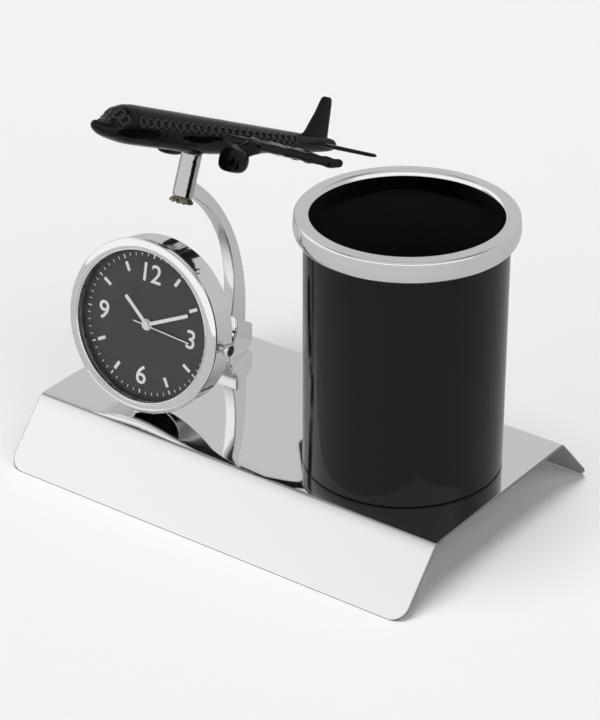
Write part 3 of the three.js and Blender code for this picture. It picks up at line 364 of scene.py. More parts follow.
cup_outline = rounded([
    (cup_hole, 0, 0), (cup_radius, 0, cup_corner), (cup_radius, cup_height, 0),
    (cup_inner, cup_height, 0), (cup_inner, cup_floor, 2 * cup_wall), (cup_hole, cup_floor, 0)])
dressed("enamelled_cup", [spun(cup_outline)], Matrix.Translation((cup_x, cup_y, cup_low.z)),
        black_enamel, "body", "cup_body")

# Cup rim: a wide flat ring with round edges, rolled over the tube's edge and chrome plated.
# It grips the tube in a groove and overhangs it by a few millimetres.
rim_low, rim_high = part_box("cup_rim")
rim_radius = (rim_high.x - rim_low.x) / 2
rim_height = rim_high.z - rim_low.z
rim_waist = 4.2 * mm
rim_opening = 34.75 * mm
rim_outer_round = 1 * mm
rim_inner_round = 1.5 * mm
rim_draft = 0.3 * mm
rim_crown = 0.25 * mm
rim_foot_round = 1.8 * mm
rim_grip = 5 * mm
rim_fit = 0.15 * mm

# Chrome plating on a polished casting: a clear mirror with a soft ripple 9 mm wide where
# the buffing wheel passed.
mirror_chrome = new_finish(
    "polished_chrome_plating", "#EEEEEE", 1, [14 * mm, 3, 0.04, 0.09],
    [9 * mm, 1, 0, 1], 0.006 * mm)


def oval(centre_x, centre_y, width, height, start, end, steps):
    """Points on part of an ellipse, with its angles in degrees."""
    angles = [math.radians(start + (end - start) * i / steps) for i in range(steps + 1)]
    return [(centre_x + width * math.cos(a), centre_y + height * math.sin(a)) for a in angles]


groove_outer = cup_radius + rim_fit
groove_inner = cup_inner - rim_fit
rim_outline = (
    oval(rim_radius - rim_foot_round, rim_waist, rim_foot_round, rim_waist, -90, 0, 12)
    + oval(rim_radius - rim_draft - rim_outer_round, rim_height - rim_crown - rim_outer_round,
           rim_outer_round, rim_outer_round, 4, 80, 14)
    + oval(rim_opening + rim_inner_round, rim_height - 2 * rim_inner_round,
           rim_inner_round, 2 * rim_inner_round, 90, 180, 16)
    + [(rim_opening, rim_grip / 2), ((rim_opening + groove_inner) / 2, 0), (groove_inner, 0),
       (groove_inner, rim_grip), (groove_outer, rim_grip), (groove_outer, 0)])
dressed("chromed_rim", [spun(rim_outline)], Matrix.Translation((cup_x, cup_y, rim_low.z)),
        mirror_chrome, "body", "cup_rim")

# Screws, washers and nut: zinc-plated steel, turned and rolled. They hold the cup, the foot
# and the clock from under the plate, and stay as the frame has them.


def crystal_shine(tree, place):
    """A roughness that differs from one crystal to the next."""
    crystals = add_node(tree, "ShaderNodeTexVoronoi", {"Vector": place, "Scale": 1 / (2 * mm)})
    return add_node(tree, "ShaderNodeMapRange", {
        "Value": crystals.outputs["Color"], "To Min": 0.25, "To Max": 0.42})


def coat(finish, *nodes):
    """Gives CAD nodes that stay a better material in their slots."""
    for node in nodes:
        for slot in frame["nodes"][node].material_slots:
            slot.material = finish


# Zinc plating: pale grey, satin, with crystals about 2 mm wide that vary its shine.
zinc_steel = new_finish("zinc_plated_steel", "#C3C6C8", 1, crystal_shine)
coat(zinc_steel, "cup_screw", "cup_washer", "cup_nut", "foot_washer", "foot_screw",
     "clock_screw", "post_screw", "crown_tube", "stem", "setting_lever")

# Stand: a cast foot that flares at its sole, a bar bent in an arch that is pegged into the
# foot's sloping top, and a turned sleeve brazed to the arch's tip. All three are chromed.
joints = {joint["name"]: joint for joint in frame["joints"]}
post_axis = Vector(joints["airliner_swivel"]["axis"]).normalized()
post_end = Vector(joints["airliner_swivel"]["pos_m"])
post_radius = 4.05 * mm
post_length = 17 * mm
post_bore = 1.7 * mm
post_bore_edge, post_low_edge, post_top_edge = 0.2 * mm, 0.5 * mm, 0.3 * mm
post_start = post_end - post_axis * post_length
stand_x = post_end.x
foot_low, foot_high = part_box("stand_foot")
foot_flare = 7.1 * mm
foot_heel = 3.8 * mm
foot_front_height = 16.4 * mm
foot_back_height = 10 * mm
foot_top_width = 10.8 * mm
foot_sole_width = foot_high.x - foot_low.x
foot_corner = 0.9 * mm
foot_rows = 36
arm_width = 5.4 * mm
arm_depth = 8.9 * mm
arm_tip_depth = 5.9 * mm
arm_back_radius = 81 * mm
arm_front_radius = 56.5 * mm
arm_corner = 0.6 * mm
arm_rows = 48
seat_gap = 0.3 * mm

# Foot from the sole up: share of the flare, front rise, heel, back rise and extra width
foot_shares = [
    (1, 0, 1, 0, 1), (0.94, 0.07, 0.9, 0.05, 1), (0.66, 0.26, 0.62, 0.12, 0.6),
    (0.35, 0.5, 0.35, 0.2, 0.5), (0.08, 0.68, 0.2, 0.31, 0.2), (0, 0.96, 0, 0.85, -0.3),
    (0, 1, 0.18, 1, -0.3),
]


def between(rows, t):
    """A smooth curve through rows of numbers at an even pace, t from 0 to 1."""
    rows = np.array(rows, float)
    last = len(rows) - 1
    spot = min(t * last, last - 1e-9)
    i = int(spot)
    u = spot - i
    a, b, c, d = (rows[max(0, min(last, k))] for k in (i - 1, i, i + 1, i + 2))
    return 0.5 * (2 * b + (c - a) * u + (2 * a - 5 * b + 4 * c - d) * u ** 2
                  + (3 * b - a - 3 * c + d) * u ** 3)


def skinned(rings, looped=False):
    """Skins a row of equal rings, and closes both ends or joins the last ring to the first."""
    count = len(rings[0])
    points = [p for ring in rings for p in ring]
    faces = []
    for row in range(len(rings) if looped else len(rings) - 1):
        here, there = row * count, (row + 1) % len(rings) * count
        for i in range(count):
            j = (i + 1) % count
            faces.append((here + i, here + j, there + j, there + i))
    if not looped:
        faces += [tuple(range(count)), tuple(range(len(points) - count, len(points)))]
    return closed_mesh(points, faces)


def bar_section(width, front, back, corner, steps=5):
    """A rounded oblong across X, between two points that lie in a plane of constant X."""
    depth = (back - front).length
    flat = rounded([(-width / 2, 0, corner), (width / 2, 0, corner),
                    (width / 2, depth, corner), (-width / 2, depth, corner)], steps)
    along = (back - front).normalized()
    return [front + Vector((x, 0, 0)) + along * y for x, y in flat]


foot_front = foot_low.y + foot_flare
foot_depth = foot_high.y - foot_front
foot_rings = []
for i in range(foot_rows + 1):
    flare, front_rise, heel, back_rise, extra = between(foot_shares, i / foot_rows)
    width = foot_top_width + (foot_sole_width - foot_top_width) * extra
    front_z = foot_low.z + foot_front_height * front_rise
    rear_z = foot_low.z + foot_back_height * back_rise
    front = Vector((stand_x, foot_front - foot_flare * flare, front_z))
    rear = Vector((stand_x, foot_high.y - foot_heel * heel, rear_z))
    foot_rings.append(bar_section(width, front, rear, foot_corner))
dressed("chromed_foot", [skinned(foot_rings)], as_made, mirror_chrome,
        "body", "stand_foot", 40)


def arc_points(start, end, radius):
    """Points along an arc in the YZ plane from start to end."""
    chord = end - start
    reach = math.sqrt(radius ** 2 - chord.length_squared / 4) / chord.length
    centre = (start + end) / 2 + Vector((0, -chord.z, chord.y)) * reach
    first, last = start - centre, end - centre
    return [centre + first.slerp(last, i / arm_rows).normalized() * radius
            for i in range(arm_rows + 1)]


def foot_top(y):
    """A point just over the foot's sloping top, at a place along Y."""
    run = foot_depth - foot_heel * foot_shares[-1][2]
    fall = (foot_back_height - foot_front_height) * (y - foot_front) / run
    return Vector((stand_x, y, foot_low.z + foot_front_height + fall + seat_gap / 3))


to_back = Vector((0, post_axis.z, -post_axis.y))
tip_front = post_start + to_back * post_radius
tip_back = tip_front + post_axis * arm_tip_depth
sunk = to_back * (post_radius / 2)
fronts = arc_points(foot_top(foot_front), tip_front, arm_front_radius) + [tip_front - sunk]
backs = arc_points(foot_top(foot_front + arm_depth), tip_back, arm_back_radius) + [tip_back - sunk]
rings = [bar_section(arm_width, front, back, arm_corner) for front, back in zip(fronts, backs)]
dressed("chromed_arm", [skinned(rings)], as_made, mirror_chrome,
        "body", "stand_arm", 40)


def frame_at(origin, across, up):
    """A frame whose Z is up and whose X is as near to across as it can be."""
    up = up.normalized()
    across = (across - up * across.dot(up)).normalized()
    matrix = Matrix((across, up.cross(across), up)).transposed().to_4x4()
    matrix.translation = origin
    return matrix


# Chrome plating over the brazed sleeve: a mirror broken by dents 2.4 mm wide left by filing.
filed_chrome = new_finish(
    "chrome_over_filed_brass", "#BCBCBC", 1, [5 * mm, 2, 0.05, 0.16],
    [2.4 * mm, 1, 0, 1], 0.05 * mm)
post_place = frame_at(post_start, Vector((1, 0, 0)), post_axis)
post_outline = rounded([
    (post_bore, 0, post_bore_edge), (post_radius, 0, post_low_edge),
    (post_radius, post_length, post_top_edge), (post_bore, post_length, post_bore_edge)])
dressed("chromed_post", [spun(post_outline, 96)], post_place, filed_chrome,
        "body", "post")

# Toothed washer under the post: spring steel, stamped with teeth that droop round the screw's
# head and are twisted to bite, and left with a brown heat tint.
washer_radius = 4.5 * mm
washer_root = 3.3 * mm
washer_bore = 1.65 * mm
washer_thickness = 0.6 * mm
washer_edge = 0.1 * mm
washer_teeth = 11
tooth_length = 2.1 * mm
tooth_width = 1.9 * mm
tooth_twist = math.radians(24)
tooth_droop = math.radians(50)


def mottled(size, detail, dark, light):
    """A colour that drifts between two, in patches of a real size."""
    return lambda tree, place: add_node(tree, "ShaderNodeMix", {
        0: patch(tree, place, size, detail, 0, 1), 6: dark, 7: light}, data_type="RGBA").outputs[2]


# Heat-tinted spring steel: brown metal with olive and straw specks a millimetre wide.
tinted_steel = new_finish(
    "heat_tinted_spring_steel", mottled(0.9 * mm, 4, "#4B463A", "#B3A88C"), 1, 0.32)


def new_tree(name, inputs):
    """A geometry tree with named inputs, and its group input's sockets."""
    tree = bpy.data.node_groups.new(name, "GeometryNodeTree")
    tree.interface.new_socket("Geometry", in_out="OUTPUT", socket_type="NodeSocketGeometry")
    for label, kind in {**inputs, "Finish": "Material"}.items():
        tree.interface.new_socket(label, in_out="INPUT", socket_type="NodeSocket" + kind)
    return tree, add_node(tree, "NodeGroupInput", {}).outputs


def close_tree(tree, points, copied, more):
    """Ends a tree: copies of a mesh on points, made real meshes, then their material."""
    copies = add_node(tree, "GeometryNodeInstanceOnPoints", {
        "Points": points, "Instance": copied, **more})
    real = add_node(tree, "GeometryNodeRealizeInstances", {"Geometry": copies})
    colour = add_node(tree, "GeometryNodeSetMaterial", {
        "Geometry": real,
        "Material": tree.nodes["Group Input"].outputs["Finish"]})
    add_node(tree, "NodeGroupOutput", {"Geometry": colour})


def grown(tree, values):
    """Runs a tree once with the given inputs and returns a plain mesh."""
    holder = bpy.data.objects.new(tree.name, bpy.data.meshes.new(tree.name))
    modifier = holder.modifiers.new("made", "NODES")
    modifier.node_group = tree
    for item in tree.interface.items_tree:
        if item.in_out == "INPUT":
            modifier[item.identifier] = values[item.name]
    return plain_mesh(holder)


ring_of_bars, given = new_tree("ring_of_bars", {
    "Count": "Int", "Middle": "Float", "Length": "Float", "Width": "Float", "Thickness": "Float",
    "Twist": "Float", "Droop": "Float", "Gap Start": "Int", "Gap Every": "Int"})
turns = add_node(ring_of_bars, "GeometryNodeMeshCircle", {
    "Vertices": given["Count"], "Radius": given["Middle"]})
size = add_node(ring_of_bars, "ShaderNodeCombineXYZ", {
    "X": given["Length"], "Y": given["Width"], "Z": given["Thickness"]})
bar = add_node(ring_of_bars, "GeometryNodeMeshCube", {"Size": size})
spot = add_node(ring_of_bars, "GeometryNodeInputPosition", {})
outward = add_node(ring_of_bars, "FunctionNodeAlignEulerToVector", {
    "Vector": spot}, axis="X")
lean = add_node(ring_of_bars, "ShaderNodeCombineXYZ", {"X": given["Twist"], "Y": given["Droop"]})
twisted = add_node(ring_of_bars, "FunctionNodeRotateEuler", {
    "Rotation": outward, "Rotate By": lean}, space="LOCAL")
index = add_node(ring_of_bars, "GeometryNodeInputIndex", {})
place_in_row = add_node(ring_of_bars, "FunctionNodeIntegerMath", {
    0: index, 1: given["Gap Start"]}, operation="ADD")
left = add_node(ring_of_bars, "FunctionNodeIntegerMath", {
    0: place_in_row, 1: given["Gap Every"]}, operation="MODULO")
kept = add_node(ring_of_bars, "FunctionNodeCompare", {
    "A": left, "B": 0}, data_type="INT", operation="NOT_EQUAL")
close_tree(ring_of_bars, turns, bar, {"Selection": kept, "Rotation": twisted})


def ring_mesh(count, middle, size, finish, place, twist=0.0, droop=0.0, gap=0):
    """Bars of one size round a ring; a gap leaves out the first of every so many."""
    length, width, thickness = size
    mesh = grown(ring_of_bars, {
        "Count": count, "Middle": middle, "Length": length, "Width": width, "Thickness": thickness,
        "Twist": twist, "Droop": droop, "Gap Start": 0 if gap else 1, "Gap Every": gap or count + 1,
        "Finish": finish})
    mesh.transform(place)
    return mesh


washer_low = -seat_gap - washer_thickness
tooth_height = washer_low + washer_thickness / 3 - tooth_length * math.sin(tooth_droop) / 2
teeth = ring_mesh(
    washer_teeth, washer_radius - tooth_length * math.cos(tooth_droop) / 2,
    (tooth_length, tooth_width, washer_thickness / 2), tinted_steel,
    Matrix.Translation((0, 0, tooth_height)), tooth_twist, tooth_droop)
washer_outline = rounded([
    (washer_bore, washer_low, 0), (washer_root, washer_low, washer_edge),
    (washer_root, -seat_gap, washer_edge), (washer_bore, -seat_gap, 0)], 3)
dressed("toothed_washer", [spun(washer_outline, 64), teeth], post_place, tinted_steel,
        "body", "post_washer")

# Model airliner, fuselage: a casting lacquered gloss black, with its fin cast on and a pad
# below that sits on the post. It is a plain twin-engined jet of no particular make.
heading = math.radians(10)
body_pitch = math.radians(2)
body_roll = math.radians(2)
body_length = 131.5 * mm
body_forward = 53.5 * mm
body_top = 6.25 * mm
body_keel = 8.65 * mm
body_width = 14.8 * mm
body_rows, body_sides = 120, 48
pad_radius = 4.4 * mm
pad_drop = 7.9 * mm
pad_edge = 0.4 * mm
fin_height = 15.9 * mm
fin_thickness = 1.4 * mm
fin_sides = 24

# Nose to tail: place along the length, top, keel and width
fuselage_shares = [
    (0, -0.42, 0.49, 0.08), (0.011, -0.24, 0.61, 0.34), (0.03, -0.2, 0.76, 0.6),
    (0.048, -0.08, 0.84, 0.74), (0.064, 0.2, 0.89, 0.84), (0.078, 0.6, 0.92, 0.91),
    (0.098, 0.87, 0.96, 0.96), (0.122, 0.97, 0.99, 0.99), (0.15, 1, 1, 1), (0.27, 1, 0.97, 1),
    (0.455, 1, 0.89, 1),
    (0.62, 1, 0.6, 0.95), (0.75, 1, 0.35, 0.76), (0.863, 1, 0.14, 0.5), (0.94, 1, -0.01, 0.33),
    (0.985, 0.94, -0.14, 0.24), (1, 0.75, -0.25, 0.16),
]

# Fin from its root up: height above the spine, leading and trailing edge along the length
fin_shares = [
    (-0.1, 0.82, 0.963), (0.04, 0.852, 0.9605), (0.58, 0.881, 0.951), (0.86, 0.892, 0.9455),
    (0.95, 0.896, 0.943), (1, 0.904, 0.936),
]

# Gloss black lacquer on a rough casting: soft swells 5 mm wide under a wet gloss.
black_lacquer = new_finish(
    "black_lacquered_casting", "#0A0A0B", 0, [7 * mm, 2, 0.05, 0.12],
    [5 * mm, 2, 0, 1], 0.06 * mm, Specular_IOR_Level=0.2)

# The same lacquer on the raised window frames, painted a lighter grey as painted highlight on the
# rings, and a little dull.
lacquer_with_painted_highlight = new_finish(
    "rubbed_black_lacquer", "#2C2C2E", 0, [7 * mm, 2, 0.15, 0.25], Specular_IOR_Level=0.35)

plane_place = (frame_at(post_end + post_axis * (seat_gap + pad_drop), Vector((1, 0, 0)), post_axis)
               @ Matrix.Rotation(-heading, 4, "Z") @ Matrix.Rotation(-body_pitch, 4, "X")
               @ Matrix.Rotation(-body_roll, 4, "Y"))


def fuselage_section(t):
    along, top, keel, width = between(fuselage_shares, t)
    high, low = body_top * top, -body_keel * keel
    ring = []
    for i in range(body_sides):
        angle = 2 * math.pi * i / body_sides
        x = body_width / 2 * max(width, 0.01) * math.sin(angle)
        z = (high + low) / 2 + (high - low) / 2 * math.cos(angle)
        ring.append(Vector((x, along * body_length - body_forward, z)))
    return ring


def chordwise(sides):
    """Round a thin section: the share of the half thickness, and of the way to the rear edge."""
    angles = [2 * math.pi * i / sides for i in range(sides)]
    return [(math.sin(a), (1 - math.cos(a)) / 2) for a in angles]


def fin_section(rise, lead, trail):
    front, back = (share * body_length - body_forward for share in (lead, trail))
    half = fin_thickness / 2 * (1 if rise < 0.9 else 1 - (rise - 0.9) * 6)
    z = body_top + rise * fin_height
    return [Vector((half * out * (1.15 - 0.3 * along), front + (back - front) * along, z))
            for out, along in chordwise(fin_sides)]


hull = skinned([fuselage_section(i / body_rows) for i in range(body_rows + 1)])
hull_shape = BVHTree.FromPolygons([v.co for v in hull.vertices],
                                  [list(p.vertices) for p in hull.polygons])
pad = spun([(0, -pad_drop), (pad_radius - pad_edge, -pad_drop), (pad_radius, pad_edge - pad_drop),
            (pad_radius, -pad_drop / 2), (0, -pad_drop / 2)], 64, closed=False)
pad.transform(Matrix.Rotation(body_roll, 4, "Y") @ Matrix.Rotation(body_pitch, 4, "X"))
fuselage_parts = [hull, skinned([fin_section(*row) for row in fin_shares]), pad]
dressed("airliner_fuselage", fuselage_parts, plane_place, black_lacquer,
        "airliner", "fuselage")

# Cabin windows: a row of small raised rings cast along each side of the fuselage.
window_count = 23
window_pitch = 3.84 * mm
window_climb = 0.126 * mm
window_ahead = 35.3 * mm
window_height = 1 * mm
window_radius = 1.58 * mm
window_bead = 0.34 * mm
window_stand = 0.22 * mm

window_row, given = new_tree("window_row", {
    "Hull": "Object", "Count": "Int", "Start": "Vector", "Step": "Vector", "Inward": "Vector",
    "Radius": "Float", "Bead": "Float", "Sink": "Vector"})
row = add_node(window_row, "GeometryNodeMeshLine", {
    "Count": given["Count"], "Start Location": given["Start"],
    "Offset": given["Step"]}, mode="OFFSET")
side_of = add_node(window_row, "GeometryNodeObjectInfo", {"Object": given["Hull"]})
hit = add_node(window_row, "GeometryNodeRaycast", {
    "Target Geometry": side_of.outputs["Geometry"], "Ray Direction": given["Inward"],
    "Ray Length": 1.0})
proud = add_node(window_row, "ShaderNodeVectorMath", {
    0: given["Inward"], 1: given["Sink"], 2: hit.outputs["Hit Position"]}, operation="MULTIPLY_ADD")
seated = add_node(window_row, "GeometryNodeSetPosition", {
    "Geometry": row, "Position": proud})
loop = add_node(window_row, "GeometryNodeCurvePrimitiveCircle", {
    "Resolution": 20, "Radius": given["Radius"]})
bead = add_node(window_row, "GeometryNodeCurvePrimitiveCircle", {
    "Resolution": 6, "Radius": given["Bead"]})
ring = add_node(window_row, "GeometryNodeCurveToMesh", {
    "Curve": loop, "Profile Curve": bead})
aim = add_node(window_row, "FunctionNodeAlignEulerToVector", {
    "Vector": hit.outputs["Hit Normal"]}, axis="Z")
close_tree(window_row, seated, ring, {"Rotation": aim})

hull_object = bpy.data.objects.new("hull_shape", hull)
bpy.context.scene.collection.objects.link(hull_object)
window_frames = [grown(window_row, {
    "Hull": hull_object, "Count": window_count,
    "Start": (side * body_width, -window_ahead, window_height),
    "Step": (0, window_pitch, window_climb), "Inward": (-side, 0, 0),
    "Radius": window_radius, "Bead": window_bead, "Sink": [-window_stand] * 3,
    "Finish": lacquer_with_painted_highlight}) for side in (1, -1)]
bpy.data.objects.remove(hull_object)

# Cockpit windows: three raised frames each side of the nose, each a loop of places along the
# body and degrees down from its crown, laid on the fuselage.
cockpit_frames = [
    [(-50.2, 12), (-47.2, 10), (-46.6, 40), (-49.6, 48)],
    [(-45.6, 14), (-42.8, 16), (-42.2, 38), (-45.4, 44)],
    [(-45.0, 52), (-41.9, 44), (-41.4, 66), (-44.6, 74)],
]
degrees_per_step = 10
cockpit_corner = 0.6
cockpit_bead = 0.36 * mm
bead_sides = 8


def on_hull(side, y, turn):
    """The point of the fuselage at a place along it and a turn down from its crown."""
    middle = Vector((0, y, -body_keel / 3))
    out = Vector((side * math.sin(turn), 0, math.cos(turn)))
    return hull_shape.ray_cast(middle, out)[0]


def beaded(path, radius):
    """A closed round bead along a loop of points."""
    rings = []
    for i, here in enumerate(path):
        ahead = (path[(i + 1) % len(path)] - path[i - 1]).normalized()
        across = ahead.cross(Vector((here.x, 0, here.z)).normalized()).normalized()
        out = across.cross(ahead)
        rings.append([here + (across * math.cos(a) + out * math.sin(a)) * radius
                      for a in (2 * math.pi * k / bead_sides for k in range(bead_sides))])
    return skinned(rings, looped=True)


for side in (1, -1):
    for corners in cockpit_frames:
        loop = rounded([(y, turn / degrees_per_step, cockpit_corner) for y, turn in corners], 3)
        path = []
        for (y, turn), (next_y, next_turn) in zip(loop, loop[1:] + loop[:1]):
            for share in (0, 1 / 3, 2 / 3):
                down = math.radians(degrees_per_step * (turn + (next_turn - turn) * share))
                path.append(on_hull(side, (y + (next_y - y) * share) * mm, down))
        window_frames.append(beaded(path, cockpit_bead))
dressed("airliner_window_frames", window_frames, plane_place, lacquer_with_painted_highlight,
        "airliner")

# Wing and engines: the swept wing is cast in one with both engines, their pylons and the
# flap fairings, passes under the cabin floor and carries the same lacquer.
wing_span = 40.4 * mm
tail_span = 20 * mm
# At the root and at the tip, in mm: leading edge, chord, thickness and rise
wing_sizes = [(1.5, 26.4, 4.8, 0.1), (32.6, 7.5, 3.8, 0.1)]
tail_sizes = [(60.3, 10.5, 2, 3.3), (77.5, 4.3, 1.6, 3.8)]
wing_rise = wing_sizes[0][3] * mm
# From the tip inward: share of the span, and how far the section is trimmed there
tip_trims = [(1, 0.34), (0.998, 0.2), (0.994, 0.1), (0.987, 0.03), (0.975, 0)]
nacelle_offset = 17.3 * mm
nacelle_length = 9.2 * mm
nacelle_lead = 1.75 * mm
nacelle_drop = 6.5 * mm
lump_size = 3.2 * mm
lump_depth = 0.75 * mm
wing_sides, wing_rows = 32, 39


def wing_section(share, sizes, span, trim=0):
    """One airfoil across the span: share from -1 at one tip to 1 at the other."""
    lead, chord, thickness, rise = (
        (root + (tip - root) * abs(share)) * mm for root, tip in zip(*sizes))
    lead += chord * trim * 0.3
    chord *= 1 - trim * 0.45
    thickness *= 1 - trim
    ring = []
    for out, along in chordwise(wing_sides):
        fat = thickness / 2 * abs(out) ** 0.5 * (1.04 - 0.16 * along)
        ring.append(Vector((share * span, lead + chord * along, rise + math.copysign(fat, out))))
    return ring


def swept(sizes, span, depth=0):
    """A swept casting from tip to tip, with lumps of the given depth."""
    steps = tip_trims + [(share, 0) for share in np.linspace(0.95, 0, wing_rows)]
    rings = [wing_section(share, sizes, span, trim) for share, trim in steps]
    rings += [wing_section(-share, sizes, span, trim) for share, trim in reversed(steps[:-1])]
    for ring in rings:
        middle = sum(ring, Vector()) / len(ring)
        for i, p in enumerate(ring):
            out = Vector((0, p.y - middle.y, 3 * (p.z - middle.z))).normalized()
            ring[i] = p + out * (noise.noise(p / lump_size) * depth)
    return skinned(rings)


# Engine from the fan's seat round the intake lip to the tail pipe, and the spinner in front
# of the fan: radius and place, in mm
engine_outline = [
    (0, 2.4), (1.0, 2.5), (3.7, 2.5), (4.05, 0.9), (4.2, 0.3), (4.45, 0.05), (4.75, 0.3),
    (4.95, 1.1), (5, 2.4), (5, 4.8), (4.75, 6.2), (4.2, 7.4), (3.4, 8.4), (2.5, 9.0),
    (1.5, 9.2), (0, 8.9)]
spinner_outline = [(0, 0.9), (0.7, 1.5), (1.15, 2.9), (0, 2.9)]
fan_blades = 12
fan_middle = 2.4 * mm
fan_place = 2.3 * mm
blade_size = (2.8 * mm, 0.9 * mm, 0.25 * mm)
blade_pitch = math.radians(35)

# Pylon from the engine up: height, then front and rear in engine lengths
pylon_shares = [(0.2, 0.7, 0.98), (0.4, 0.5, 1.4), (0.55, 0.32, 1.8), (0.85, 0.5, 2.0),
                (1.0, 0.75, 2.1), (1.2, 1.0, 1.3)]
pylon_half = 1.9 * mm
pylon_sides = 20


def engine(offset):
    """An engine with an open intake round a spinner and a fan, its lower half squarish."""
    place = (Matrix.Translation((offset, nacelle_lead, -nacelle_drop))
             @ Matrix.Rotation(-math.pi / 2, 4, "X"))
    shell, spinner = (
        spun([(radius * mm, height * mm) for radius, height in outline], steps, closed=False)
        for outline, steps in ((engine_outline, 64), (spinner_outline, 24)))
    for vertex in shell.vertices:
        x, y, z = vertex.co
        if y > 0:
            full = (abs(x) ** 3 + y ** 3) ** (1 / 3) / math.hypot(x, y)
            vertex.co = x / full, y / full, z
    shell.transform(place)
    spinner.transform(place)
    fan = ring_mesh(fan_blades, fan_middle, blade_size, black_lacquer,
                    place @ Matrix.Translation((0, 0, fan_place)), blade_pitch)
    return [shell, spinner, fan]


def pylon(offset):
    rings = []
    for height, start, end in pylon_shares:
        z = (wing_rise + nacelle_drop) * height - nacelle_drop
        rings.append([Vector((offset + pylon_half * out,
                              nacelle_lead + nacelle_length * (start + (end - start) * along), z))
                      for out, along in chordwise(pylon_sides)])
    return skinned(rings)


def ball(radius, across, rows):
    """A round mesh, which a matrix can stretch."""
    whole = bmesh.new()
    bmesh.ops.create_uvsphere(whole, u_segments=across, v_segments=rows, radius=radius)
    mesh = bpy.data.meshes.new("ball")
    whole.to_mesh(mesh)
    whole.free()
    return mesh


wing_parts = [swept(wing_sizes, wing_span, lump_depth)]
for offset in (nacelle_offset, -nacelle_offset):
    wing_parts += engine(offset) + [pylon(offset)]

# Flap fairings: slender pods under the trailing edge
fairing_length = 7 * mm
fairing_radius = 1.2 * mm
fairing_drop = 1.6 * mm
for share in (0.56, -0.56, 0.69, -0.69):
    ring = wing_section(share, wing_sizes, wing_span)
    trail = max(p.y for p in ring)
    spot = Vector((share * wing_span, trail - fairing_length / 4, ring[0].z - fairing_drop))
    pod = ball(1, 20, 12)
    pod.transform(Matrix.Translation(spot)
                  @ Matrix.Diagonal((fairing_radius, fairing_length / 2, fairing_radius, 1)))
    wing_parts.append(pod)
dressed("airliner_wing", wing_parts, plane_place, black_lacquer, "airliner", "wing")

# Tailplane: a thin swept casting let into the tail cone, lacquered with the rest.
dressed("airliner_tailplane", [swept(tail_sizes, tail_span)], plane_place, black_lacquer,
        "airliner", "tailplane")

# Clock case: a die-cast drum, polished and chromed, leaning back on a small wedge that meets
# the plate. The bezel is a domed ring pressed into its front.
dial_normal = -Vector(joints["minute_hand_spin"]["axis"]).normalized()
hands_height = 9 * mm
clock_place = frame_at(Vector(joints["minute_hand_spin"]["pos_m"]) - dial_normal * hands_height,
                       Vector(joints["crown_pull"]["axis"]), dial_normal)
case_radius = 33.9 * mm
case_wall = 2.5 * mm
case_depth = 10.4 * mm
case_bore = case_radius - case_wall
case_bore_edge, case_back_edge, case_front_edge = 0.15 * mm, 0.7 * mm, 0.2 * mm
ledge_bottom = 2.1 * mm
ledge_top = 2.9 * mm
ledge_width = 1 * mm
rebate_width = 1.2 * mm
rebate_bore = case_bore + rebate_width
rebate_depth = 1 * mm
rebate_floor = case_depth - rebate_depth
wedge_width = 10 * mm
wedge_depth = 6.2 * mm
wedge_back = 0.2 * mm
wedge_corner = 0.5 * mm
wedge_rows = 6
clock_tilt = math.asin(dial_normal.z)
clock_roll = math.radians(1.4)

case_outline = rounded([
    (case_bore, 0, case_bore_edge), (case_radius, 0, case_back_edge),
    (case_radius, case_depth, case_front_edge),
    (rebate_bore, case_depth, 0), (rebate_bore, rebate_floor, 0), (case_bore, rebate_floor, 0),
    (case_bore, ledge_top, 0), (case_bore - ledge_width, ledge_top, 0),
    (case_bore - ledge_width, ledge_bottom, 0), (case_bore, ledge_bottom, 0)])
wedge_rings = []
for share in np.linspace(0, 1, wedge_rows + 1):
    low = -case_radius - wedge_depth * share * math.tan(clock_tilt)
    high = case_wall / 2 - case_radius
    half = wedge_width / 2
    flat = rounded([(-half, low, wedge_corner), (half, low, wedge_corner), (half, high, 0),
                    (-half, high, 0)], 5)
    z = wedge_back + (wedge_depth - wedge_back) * share
    wedge_rings.append([Vector((x, y, z)) for x, y in flat])
wedge = skinned(wedge_rings)
wedge.transform(Matrix.Rotation(clock_roll, 4, "Z"))
dressed("chromed_case", [spun(case_outline), wedge], clock_place, mirror_chrome,
        "body", "clock_case")

bezel_radius = 34.55 * mm
bezel_bottom = 10.7 * mm
bezel_edge = 0.5 * mm
lip_radius = 29.9 * mm
lip_height = 13.06 * mm
lip_thickness = 0.6 * mm
dome_inner = lip_radius + lip_thickness
groove_width = 0.35 * mm
groove_radius = dome_inner + groove_width
groove_depth = 0.4 * mm
dome_start = bezel_bottom + bezel_edge
spigot = rebate_bore - seat_gap
spigot_low = rebate_floor + seat_gap
bezel_outline = (
    [(case_bore, spigot_low), (spigot, spigot_low), (spigot, bezel_bottom)]
    + oval(bezel_radius - bezel_edge, dome_start, bezel_edge, bezel_edge, -90, 0, 6)
    + oval(groove_radius, dome_start, bezel_radius - groove_radius, lip_height - dome_start,
           0, 90, 28)[1:]
    + [(groove_radius, lip_height - groove_depth), (dome_inner, lip_height - groove_depth)]
    + oval(dome_inner - lip_thickness / 2, lip_height - lip_thickness / 2,
           lip_thickness / 2, lip_thickness / 2, 0, 180, 12)
    + [(lip_radius, lip_height - lip_thickness), (case_bore, lip_height - lip_thickness)])
dressed("chromed_bezel", [spun(bezel_outline)], clock_place, mirror_chrome,
        "body", "bezel")

# Case back: a moulded black plate that presses into the drum from behind.
insert_radius = case_bore - seat_gap
back_top = 1.8 * mm
back_recess = insert_radius * 0.8
back_low = 0.05 * mm
back_slope = 0.3 * mm
